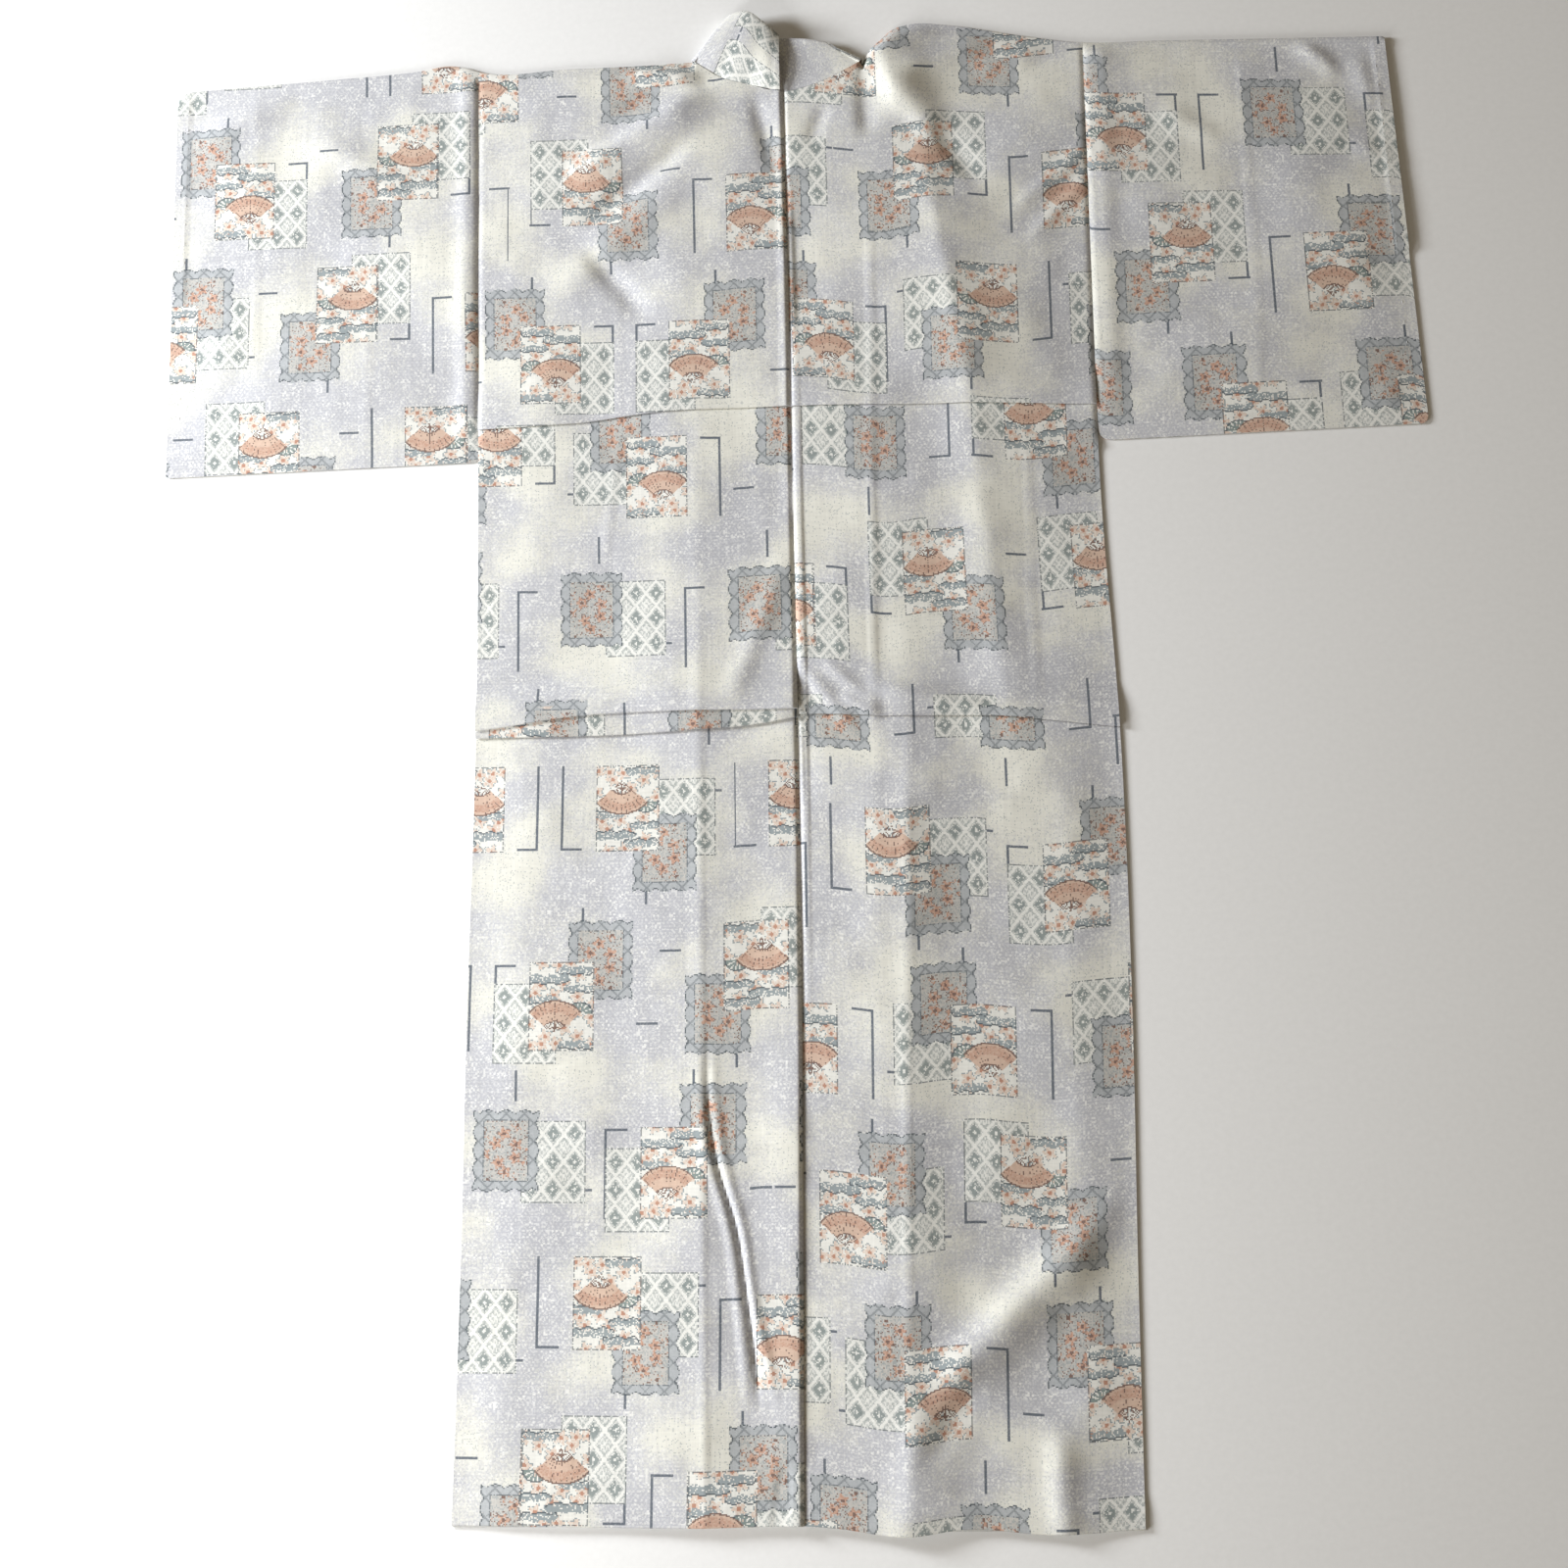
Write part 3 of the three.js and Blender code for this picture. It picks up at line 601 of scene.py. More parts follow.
def body_length(side):
    """A body length, from its back hem to its front hem, with the neck cut away on the front."""
    side_x, centre_x = float(side_at(side, 0)), float(CENTRE_SEAM(0))
    neck_share = (side_x - side * NECK_HALF) / (side_x - centre_x)
    width = abs(side_x - centre_x)
    at_side = (-1, SIDE_STRIP / width, 1.8)
    at_seam = (1 - SEAM_STRIP / width, 2, 2.6)
    creased = (1 - CREASED_STRIP[0] / width, 1 - CREASED_STRIP[1] / width, CREASED_TIMES[side])
    to_neck = paced(0, neck_share, int(neck_share * width / STEP) + 4, [at_side])
    to_neck[-1] = neck_share
    past_neck = paced(neck_share, 1, PAST_NECK_COLUMNS[side], [creased, at_seam])[1:]
    shares = np.concatenate([to_neck, past_neck])
    backs, fronts = zip(*(body_route(side, share, neck_share) for share in shares))
    back_rows = len(backs[0])
    rows = np.stack([np.vstack(pair) for pair in zip(backs, fronts)], axis=1)
    along = cut_lengths(rows)
    across = np.broadcast_to(shares * width, along.shape).copy()
    last_neck_column = len(to_neck) - 1
    lowest_fold = back_rows - TURN_STEPS - 1

    def keep(r, c):
        return c < last_neck_column or r < lowest_fold

    if side > 0:
        rows, across = rows[:, ::-1], across[:, ::-1]
        columns = rows.shape[1] - 2
        return rows, across, along[:, ::-1], lambda r, c: keep(r, columns - c)
    return rows, across, along, keep


# Front overlaps

STRAIGHT_ROWS = 70
TAPERED_ROWS = 41
INNER_COLUMNS = 13
EDGE_COLUMNS = 7
OVERLAP_PRINT_FROM = 1500


def front_overlap(side):
    """A front overlap, from its hem up to its point between the body and the collar."""
    start = -FRONT_INNER + SEAM_GAP
    slope = (COLLAR_END_SEAM + FRONT_INNER) / (KENSAKI_Y - COLLAR_END_Y)
    tip_y = KENSAKI_Y - (2 * SEAM_GAP + 1) / slope
    straight = np.linspace(0, 1, STRAIGHT_ROWS)
    tapered = np.linspace(0, 1, TAPERED_ROWS + 1)[1:]
    seam = np.concatenate([
        np.full(STRAIGHT_ROWS, COLLAR_END_SEAM - SEAM_GAP),
        mix(COLLAR_END_SEAM - SEAM_GAP, start + 1, tapered),
    ])
    inner = mix(start, seam[:, None], np.linspace(0, 1, INNER_COLUMNS))
    edge = mix(seam[:, None], FRONT_EDGE, np.linspace(0, 1, EDGE_COLUMNS + 1)[1:])
    x = -side * np.hstack([inner, edge])
    end = COLLAR_END_Y - SEAM_GAP
    y = np.vstack([
        mix(HEM_CURVE(x[:STRAIGHT_ROWS]), end, straight[:, None]),
        np.broadcast_to(mix(end, tip_y, tapered)[:, None], (TAPERED_ROWS, INNER_COLUMNS + EDGE_COLUMNS)),
    ])
    rows = np.stack([x, y, front_height(side, x, y)], axis=2)
    rows, across = facing(rows, -side * x, 0, False)
    return rows, across, y + OVERLAP_PRINT_FROM, None


# Collar

COLLAR_TURN = {
    -1: {"seam": (-87, 3), "free": (-51, 47), "rise": 12},
    1: {"seam": (87, -5), "free": (54, 14), "rise": 8},
}
COLLAR_BACK = {
    -1: {"share": (0, 0.25, 0.65, 1), "x": (-51, -33, -12, 3), "y": (47, 49, 35, 22), "z": (12, 17, 17, 13)},
    1: {"share": (0, 0.5, 1), "x": (54, 28, -8), "y": (14, 19, 22), "z": (8, 9, 7)},
}
COLLAR_BULGE = {-1: 3.5, 1: 0}
COLLAR_LAP = {-1: 3, 1: -8}
COLLAR_STEP_UP = 3.2
COLLAR_SINKS = 1.3
COLLAR_COLUMNS = 19
COLLAR_TURN_ROWS = 9
COLLAR_BACK_ROWS = 33
# How much the rows slant past the overlap's point and before it, so that they stand square to the seam
COLLAR_SLANTS = (0.1, 0.213)


def collar_mid(side):
    """The middle of a collar half, from its end on the front over the shoulder to the centre of the back."""
    across = np.linspace(0, 1, COLLAR_COLUMNS)
    y = np.concatenate([
        spaced(COLLAR_END_Y, KENSAKI_Y, HIDDEN_STEP),
        spaced(KENSAKI_Y, -50, HIDDEN_STEP),
        spaced(-50, -20, STEP),
    ])
    slope = np.where(y > KENSAKI_Y, *COLLAR_SLANTS) * (y > COLLAR_END_Y)
    seam_x = np.interp(y, FRONT_SEAM["y"], FRONT_SEAM["x"])
    x = -side * (seam_x[:, None] + SEAM_GAP + (COLLAR_WIDTH - SEAM_GAP) * across)
    y = y[:, None] + (slope * COLLAR_WIDTH)[:, None] * across
    on_floor = np.stack([x, y, front_height(side, x, y) + COLLAR_WALL / 2 - FRONT_Z], axis=2)

    turn = COLLAR_TURN[side]
    seam, free = np.array(turn["seam"], float), np.array(turn["free"], float)
    line = (free - seam) / np.linalg.norm(free - seam)
    outward = np.array([line[1], -line[0]]) * side
    neck_z = back_at(*seam)
    angle = np.linspace(0, pi, COLLAR_TURN_ROWS)[:, None]
    radius = (mix(neck_z, turn["rise"], across) - COLLAR_WALL / 2) / 2
    swing = radius * (np.sin(angle) - 1)
    place = seam + (free - seam) * across[:, None]
    turned = np.stack([
        place[:, 0] + outward[0] * swing,
        place[:, 1] + outward[1] * swing,
        COLLAR_WALL / 2 + radius * (1 - np.cos(angle)),
    ], axis=2)

    shares = np.linspace(0, 1, COLLAR_BACK_ROWS + 1)[1:]
    base_x = mix(seam[0], COLLAR_LAP[side], shares)
    base_y = NECK_CURVE(base_x) + SEAM_GAP
    step_up = COLLAR_STEP_UP * fade(0.6, 0.85, shares) if side < 0 else 0
    base = np.stack([base_x, base_y, back_height(base_x, base_y) + step_up - COLLAR_SINKS], axis=1)
    back = COLLAR_BACK[side]
    edge = np.stack([smooth(back["share"], back[k])(shares) for k in "xyz"], axis=1)
    on_back = base[:, None] + (edge - base)[:, None] * across[:, None]
    on_back[..., 2] += COLLAR_BULGE[side] * np.sin(pi * across)
    return np.concatenate([on_floor, turned, on_back])


def doubled(mid, half):
    """A band folded lengthwise: its face over the middle surface, round the free edge and back under it."""
    along = np.gradient(mid, axis=0)
    sideways = np.gradient(mid, axis=1)
    normal = np.cross(sideways, along)
    normal /= np.linalg.norm(normal, axis=2, keepdims=True)
    out = sideways[:, -1:] / np.linalg.norm(sideways[:, -1:], axis=2, keepdims=True)
    angles = np.radians([45, 90, 135])[None, :, None]
    edge = mid[:, -1:] + half * (normal[:, -1:] * np.cos(angles) + out * np.sin(angles))
    return np.concatenate([mid + half * normal, edge, (mid - half * normal)[:, ::-1]], axis=1)


def collar_half(side):
    """A collar half, cut as a straight strip and folded lengthwise."""
    mid = collar_mid(side)
    rows = doubled(mid, PLY / 2 + 0.1)
    along = cut_lengths(rows)
    steps = np.linalg.norm(np.diff(rows, axis=1), axis=2)
    across = np.hstack([np.zeros((len(rows), 1)), np.cumsum(steps, axis=1)])
    return rows, across, np.broadcast_to(along[:, :1], along.shape).copy(), None


# Sleeves

# The roll beside each armhole seam: where it starts and ends, its half width and its rise
SLEEVE_ROLL = {-1: (-321, -317, 10, 1.9), 1: (327, 326, 12, 1.4)}
SLEEVE_WIDTH = 310.0
MOUTH_HEM = 13
MOUTH_LIFT = 0.6
# How much lower the folds stand at the mouth than away from it
MOUTH_RELIEF = 0.35
SEAM_COLUMNS = (24, 2)
MOUTH_COLUMNS = (14, 9)
FRONT_ROWS = 44
BACK_ROWS = int(420 / STEP)


def rounded(inside, radius):
    """How far a corner of the radius draws the edge in, at a distance from the side."""
    reach = np.clip(radius - inside, 0, radius)
    return radius - np.sqrt(radius**2 - reach**2)


def sleeve_x(sleeve, y, inside):
    """The place of a thread of a sleeve, at a distance from the armhole seam."""
    mouth = mix(sleeve.mouth_top, sleeve.mouth_bottom, y / sleeve.bottom_out)
    return mix(side_at(sleeve.side, y) + sleeve.side * 0.2, mouth, inside / SLEEVE_WIDTH)


def sleeve_height(sleeve, x, y, inside):
    """The upper layer of a sleeve, with the roll beside its seam, drawn down to the front at sewn edges."""
    top_x, bottom_x, half, rise = SLEEVE_ROLL[sleeve.side]
    roll_x = mix(top_x, bottom_x, y / sleeve.bottom_in)
    roll = rise * np.exp(-(((x - roll_x) / half) ** 2))
    from_mouth = SLEEVE_WIDTH - inside
    mouth_hem = MOUTH_LIFT * (1 - fade(MOUTH_HEM, MOUTH_HEM + 1.5, from_mouth))
    dip = ARMHOLE_SHARE * SEAM_DIP * beside_seam(inside)
    flatter = mix(MOUTH_RELIEF, 1, fade(0, SEWN_SLOPE, from_mouth))
    height = BACK_Z + relief(x, y) * flatter + roll + mouth_hem - dip
    at_mouth = (1 - fade(2, SEWN_SLOPE, from_mouth)) * (1 - fade(-CUFF_OPENING - 12, -CUFF_OPENING, y))
    lower = mix(sleeve.bottom_in, sleeve.bottom_out, inside / SLEEVE_WIDTH)
    at_bottom = 1 - fade(1, SEWN_SLOPE, y - lower)
    return mix(height, SEWN_Z, np.maximum(at_mouth, at_bottom))


def sleeve_length(side):
    """A sleeve: one length from its bottom seam up the front, over the shoulder fold and down the back."""
    sleeve = SLEEVES[side]
    seam_strip, seam_step = SEAM_COLUMNS
    mouth_strip, mouth_count = MOUTH_COLUMNS
    insides = np.concatenate([
        spaced(0, seam_strip, seam_step),
        spaced(seam_strip, SLEEVE_WIDTH - mouth_strip, STEP),
        np.linspace(SLEEVE_WIDTH - mouth_strip, SLEEVE_WIDTH, mouth_count),
    ])
    threads = []
    for inside in insides:
        from_mouth = SLEEVE_WIDTH - inside
        lower = mix(sleeve.bottom_in, sleeve.bottom_out, inside / SLEEVE_WIDTH)
        lower += rounded(inside, sleeve.inner) + rounded(from_mouth, sleeve.outer)
        top = top_at(float(sleeve_x(sleeve, 0, inside)))
        top = top - rounded(from_mouth, sleeve.top) - SHOULDER_RADIUS
        y = np.linspace(lower, top, FRONT_ROWS)
        front = np.stack([sleeve_x(sleeve, y, inside), y, np.full_like(y, FRONT_Z)], axis=1)
        fold_y, fold_z = half_turn(top, FRONT_Z, FRONT_Z + 2 * SHOULDER_RADIUS, 1)
        fold = np.stack([sleeve_x(sleeve, fold_y, inside), fold_y, fold_z], axis=1)
        y = np.linspace(top, lower, BACK_ROWS)
        x = sleeve_x(sleeve, y, inside)
        z = sleeve_height(sleeve, x, y, inside)
        z = mix(z, FRONT_Z + 2 * SHOULDER_RADIUS, fade(top - SHOULDER_SLOPE, top, y))
        back = np.stack([x, y, z], axis=1)
        threads.append(np.vstack([front[:-1], fold, back[1:]]))
    rows = np.stack(threads, axis=1)
    along = cut_lengths(rows)
    middle = len(rows) - BACK_ROWS // 2
    along = along - along[middle] - rows[middle, :, 1]
    across = np.broadcast_to(insides, along.shape).copy()
    rows, across = facing(rows, across, middle, True)
    return rows, across, along, None


# Node trees


def math_node(operation):
    """A method of a field that adds a Math node with an operation."""
    return lambda field, *others: field.math(operation, *others)


class Field:
    """A value in a node tree. Arithmetic on it adds Math nodes."""

    def __init__(self, tree, socket):
        self.tree, self.socket = tree, socket

    def math(self, operation, *others):
        node = self.tree.nodes.new("ShaderNodeMath")
        node.operation = operation
        for value, slot in zip((self, *others), node.inputs):
            feed(self.tree, value, slot)
        return Field(self.tree, node.outputs[0])

    __add__ = math_node("ADD")
    __sub__ = math_node("SUBTRACT")
    __mul__ = math_node("MULTIPLY")
    __truediv__ = math_node("DIVIDE")
    __lt__ = math_node("LESS_THAN")
    __gt__ = math_node("GREATER_THAN")
    __or__ = math_node("MAXIMUM")
    __abs__ = math_node("ABSOLUTE")
    floor = math_node("FLOOR")
    fraction = math_node("FRACT")
    sine = math_node("SINE")
    cosine = math_node("COSINE")
    root = math_node("SQRT")
    arctan = math_node("ARCTAN2")


def feed(tree, value, slot):
    """Link a value to a socket, or set the socket where the value is a plain number or colour."""
    if isinstance(value, Field):
        tree.links.new(value.socket, slot)
    else:
        slot.default_value = value


def colour(code):
    """A colour of the print, from its usual hexadecimal name, as a shader takes it."""
    parts = [int(code[i : i + 2], 16) / 255 for i in (0, 2, 4)]
    return tuple(c / 12.92 if c <= 0.04045 else ((c + 0.055) / 1.055) ** 2.4 for c in parts) + (1,)


SOCKETS = {"value": "NodeSocketFloat", "colour": "NodeSocketColor"}
ON_CUT = {"Across": "value", "Along": "value"}
CARD = {"X": "value", "Y": "value", "Under": "colour", "Fine": "value"}
COLOURED = {"Color": "colour"}


def new_group(name, inputs, outputs):
    """A shader node group, its inputs as fields by name, and the node that its outputs go to."""
    tree = bpy.data.node_groups.new(name, "ShaderNodeTree")
    for where, sockets in (("INPUT", inputs), ("OUTPUT", outputs)):
        for label, kind in sockets.items():
            tree.interface.new_socket(name=label, in_out=where, socket_type=SOCKETS[kind])
    entry = tree.nodes.new("NodeGroupInput")
    fields = {label: Field(tree, entry.outputs[label]) for label in inputs}
    return tree, fields, tree.nodes.new("NodeGroupOutput")


def place_group(tree, group, **values):
    """One use of a group in a tree, with its outputs as fields by name."""
    node = tree.nodes.new("ShaderNodeGroup")
    node.node_tree = group
    for label, value in values.items():
        feed(tree, value, node.inputs[label])
    return {socket.name: Field(tree, socket) for socket in node.outputs}


# The places of a Mix node's sockets for colours
MIX_SHARE = 0
MIX_UNDER = 6
MIX_OVER = 7
MIXED = 2


def paint(under, over, mask):
    """Lay a colour over another where the mask is 1."""
    tree = mask.tree
    node = tree.nodes.new("ShaderNodeMix")
    node.data_type = "RGBA"
    for value, slot in ((mask, MIX_SHARE), (under, MIX_UNDER), (over, MIX_OVER)):
        feed(tree, value, node.inputs[slot])
    return Field(tree, node.outputs[MIXED])


def flat_place(tree, vector):
    """The first two coordinates of a vector."""
    parts = tree.nodes.new("ShaderNodeSeparateXYZ")
    tree.links.new(vector, parts.inputs[0])
    return [Field(tree, parts.outputs[axis]) for axis in "XY"]


def distance(x, y):
    return (x * x + y * y).root()


def vector_of(x, y, z=0.0):
    node = x.tree.nodes.new("ShaderNodeCombineXYZ")
    for value, slot in zip((x, y, z), node.inputs):
        feed(x.tree, value, slot)
    return Field(x.tree, node.outputs[0])


def noise(x, y, size, detail=2.0, rough=0.5, seed=0.0):
    """A cloudy unevenness about a size across, from 0 to 1."""
    node = x.tree.nodes.new("ShaderNodeTexNoise")
    feed(x.tree, vector_of(x / size, y / size, seed), node.inputs["Vector"])
    node.inputs["Scale"].default_value = 1
    node.inputs["Detail"].default_value = detail
    node.inputs["Roughness"].default_value = rough
    return Field(x.tree, node.outputs["Fac"])


def grain(x, y, size, seed=0.0):
    """A value from 0 to 1 for each square of a size, with nothing in common with the next."""
    node = x.tree.nodes.new("ShaderNodeTexWhiteNoise")
    node.noise_dimensions = "3D"
    feed(x.tree, vector_of((x / size).floor(), (y / size).floor(), seed), node.inputs["Vector"])
    return Field(x.tree, node.outputs["Value"])


def between(value, low, high):
    """1 where a value lies between two others."""
    return (value > low) * (value < high)


def box(x, y, half_x, half_y):
    return (abs(x) < half_x) * (abs(y) < half_y)


def ramp(value, low, high):
    """0 below the first value, 1 above the second, and an even slope between."""
    node = value.tree.nodes.new("ShaderNodeMapRange")
    node.inputs["From Min"].default_value = low
    node.inputs["From Max"].default_value = high
    feed(value.tree, value, node.inputs["Value"])
    return Field(value.tree, node.outputs["Result"])


# The print, in millimetres on the cut cloth

INK = {
    "lilac": colour("C6C7CC"),
    "shade": colour("B2B3BA"),
    "cream": colour("E9E8DE"),
    "speck": colour("F4F4F1"),
    "outline": colour("50595F"),
    "bracket": colour("6B727B"),
    "lattice": colour("CBCECA"),
    "lattice_line": colour("F1F1EB"),
    "lattice_square": colour("909997"),
    "scallop": colour("B0B5B7"),
    "scallop_field": colour("C6C3BD"),
    "terracotta": colour("BD8A72"),
    "brown": colour("7B5F53"),
    "peach": colour("D9BBA6"),
    "white": colour("EFEEE7"),
    "cloud": colour("97A1A4"),
    "pine": colour("83918D"),
}


# The sizes of the ground's clouds, shades, sprayed dots and specks, and the spacing of its short dashes
CLOUDS = 104
SHADES = 160
SPRAY = 2.2
FINE_SPRAY = 1.1
SNOW = 1.9
SNOW_PATCHES = 7
DASH_EVERY = 4.4
DASH_ROW = 3.1


def build_ground():
    """The lilac ground with cream clouds, whose edges are sprayed in small dots, and its fine specks."""
    tree, at, out = new_group("sprayed_ground", ON_CUT, COLOURED)
    x, y = at["Across"], at["Along"]
    shape = noise(x, y * 1.25, CLOUDS, 2.0, 0.45)
    dots = grain(x, y, SPRAY)
    fine = grain(x, y, FINE_SPRAY, 4)
    sprayed = ramp(shape + dots * 0.07 + fine * 0.06, 0.51, 0.69)
    deep = ramp(noise(x, y, SHADES, 1, 0.5, 9), 0.4, 0.75)
    ground = paint(INK["lilac"], INK["shade"], deep * 0.55)
    row = (y / DASH_ROW).floor()
    shifted = x + (row / 2).fraction() * DASH_EVERY
    dash = between((shifted / DASH_EVERY).fraction(), 0.2, 0.62)
    dash = dash * between((y / DASH_ROW).fraction(), 0.25, 0.7)
    snow = (grain(x, y, SNOW, 5) > 0.86) | (dash * 0.6)
    snow = (snow | (fine > 0.76) * 0.6) * ramp(grain(x, y, SNOW_PATCHES, 2), -0.6, 1.2)
    ground = paint(ground, INK["speck"], snow)
    cream = paint(INK["cream"], INK["cloud"], (fine > 0.93) * 0.5)
    feed(tree, paint(ground, cream, sprayed), out.inputs["Color"])
    return tree


# The parts of a blossom, as shares of its size
PETALS = 5
PETAL_REACH = 0.34
PETAL_LOBE = 0.1
PETAL_RIM = 0.1
HEART_REACH = 0.12


def build_blossoms():
    """Five-petalled blossoms strewn at random, and their hearts."""
    masks = {"Petals": "value", "Heart": "value", "Rim": "value"}
    tree, at, out = new_group("strewn_blossoms", {**ON_CUT, "Size": "value"}, masks)
    x, y = at["Across"] / at["Size"], at["Along"] / at["Size"]
    spread = tree.nodes.new("ShaderNodeTexVoronoi")
    spread.voronoi_dimensions = "2D"
    spread.inputs["Scale"].default_value = 1
    spread.inputs["Randomness"].default_value = 0.8
    feed(tree, vector_of(x, y), spread.inputs["Vector"])
    centre_x, centre_y = flat_place(tree, spread.outputs["Position"])
    radius = Field(tree, spread.outputs["Distance"])
    around = (y - centre_y).arctan(x - centre_x)
    lobes = (around * PETALS).cosine() * PETAL_LOBE + PETAL_REACH
    feed(tree, radius < lobes, out.inputs["Petals"])
    feed(tree, radius < HEART_REACH, out.inputs["Heart"])
    feed(tree, between(radius, lobes, lobes + PETAL_RIM), out.inputs["Rim"])
    return tree


OUTLINE = 1.3
INKED = 0.93
# Half the width and height of each card
LATTICE_CARD = (30, 38)
SCALLOP_CARD = (31, 38)
FAN_CARD = (31, 42)


def outlined(shade, x, y, half_x, half_y, broken):
    """A card's colour, with a thin broken line just inside its edge."""
    line = box(x, y, half_x, half_y) - box(x, y, half_x - OUTLINE, half_y - OUTLINE)
    return paint(shade, INK["outline"], line * broken * 0.75)


def lay_card(tree, at, out, shade, inside):
    """The card goes over what lies under it, which shows through a little."""
    feed(tree, paint(at["Under"], shade, inside * INKED), out.inputs["Color"])
    return tree


MESH_WIDTH = 20
MESH_HEIGHT = 25.4


def build_lattice_card():
    """A pale card with a slanting lattice of double lines, and a small square in every mesh."""
    tree, at, out = new_group("lattice_card", CARD, COLOURED)
    x, y, fine = at["X"], at["Y"], at["Fine"]
    u, v = x / MESH_WIDTH, y / MESH_HEIGHT
    rising = abs((u + v).fraction() - 0.5)
    falling = abs((u - v).fraction() - 0.5)
    line = (rising < 0.085) | (falling < 0.085)
    inner_line = between(rising, 0.16, 0.2) | between(falling, 0.16, 0.2)
    starred = (((u + v + 0.5).floor() + (u - v + 0.5).floor()) / 2).fraction() < 0.25
    heart = (rising > 0.2) * (falling > 0.2) * starred
    eye = (rising > 0.42) * (falling > 0.42)
    zigzag = abs((x / 5.2).fraction() - 0.5) * 2 - (y / 6.4).fraction()
    zigzag = (abs(zigzag) < 0.3) * (rising > 0.16) * (falling > 0.16)
    shade = paint(INK["lattice"], INK["lattice_square"], (fine > 0.7) * 0.3)
    shade = paint(shade, INK["lattice_square"], inner_line * 0.5)
    shade = paint(shade, INK["lattice_line"], zigzag * 0.8)
    shade = paint(shade, INK["lattice_square"], heart * (fine > 0.12))
    shade = paint(shade, INK["lattice_line"], (line | eye) * ramp(fine, -1.5, 0.4))
    shade = outlined(shade, x, y, *LATTICE_CARD, fine > 0.35)
    return lay_card(tree, at, out, shade, box(x, y, *LATTICE_CARD))


LOBE = 17
LOBE_DEPTH = 3.2
SCALLOP_BORDER = 10


def build_scallop_card(blossoms):
    """A grey card with a lobed edge and a border of triangles, round a panel of small flowers."""
    tree, at, out = new_group("scallop_card", CARD, COLOURED)
    x, y, fine = at["X"], at["Y"], at["Fine"]
    deep_x = abs(x) - abs((y / LOBE * pi).cosine()) * LOBE_DEPTH
    deep_y = abs(y) - abs((x / LOBE * pi).cosine()) * LOBE_DEPTH
    reach_x, reach_y = (half - LOBE_DEPTH for half in SCALLOP_CARD)
    outer = (deep_x < reach_x) * (deep_y < reach_y)
    inner = (deep_x < reach_x - OUTLINE) * (deep_y < reach_y - OUTLINE)
    shade = paint(INK["scallop"], INK["lilac"], fine * 0.45)
    slant = abs(((x + y) / LOBE).fraction() - 0.5) | abs(((x - y) / LOBE).fraction() - 0.5)
    shade = paint(shade, INK["outline"], (slant > 0.44) * 0.5)
    panel = [half - SCALLOP_BORDER for half in SCALLOP_CARD]
    flowers = place_group(tree, blossoms, Across=x, Along=y, Size=14.0)
    field = paint(INK["scallop_field"], INK["cloud"], (fine > 0.6) * 0.6)
    tint = paint(INK["peach"], INK["terracotta"], ramp(fine, -0.4, 1.1))
    nosegay = (x * x + y * y * 0.64).root() < fine * 9 + 14
    field = paint(field, tint, flowers["Petals"] * (fine > 0.12) * nosegay)
    field = paint(field, INK["brown"], flowers["Rim"] * (fine > 0.55) * nosegay * 0.8)
    field = paint(field, INK["brown"], flowers["Heart"] | (fine > 0.95))
    shade = paint(shade, field, box(x, y, *panel))
    shade = outlined(shade, x, y, *(half + 1 for half in panel), fine > 0.4)
    shade = paint(INK["outline"], shade, inner | (fine < 0.4))
    return lay_card(tree, at, out, shade, outer)


# The middle of each bar of mist on the fan card, and half its length and width
MIST = ((-13, 34, 13, 4), (14, 26, 17, 4.4), (-17, 17, 12, 3.6), (19, 6, 12, 4), (-16, -36, 15, 3.8))
MIST_LINE = 1.1
PINE_REACH = 12.5
PINE_LINE = 1.3
# The fan: its pivot, half its angle, one blade's angle, and where its leaf and the leaf's coloured band lie
FAN_PIVOT = (6, -27)
FAN_HALF = 0.86
FAN_BLADE = 0.16
FAN_LEAF = (13, 33)
FAN_BAND = (22, 30)
FAN_RIMS = ((31.8, 33.2), (12.5, 13.8))


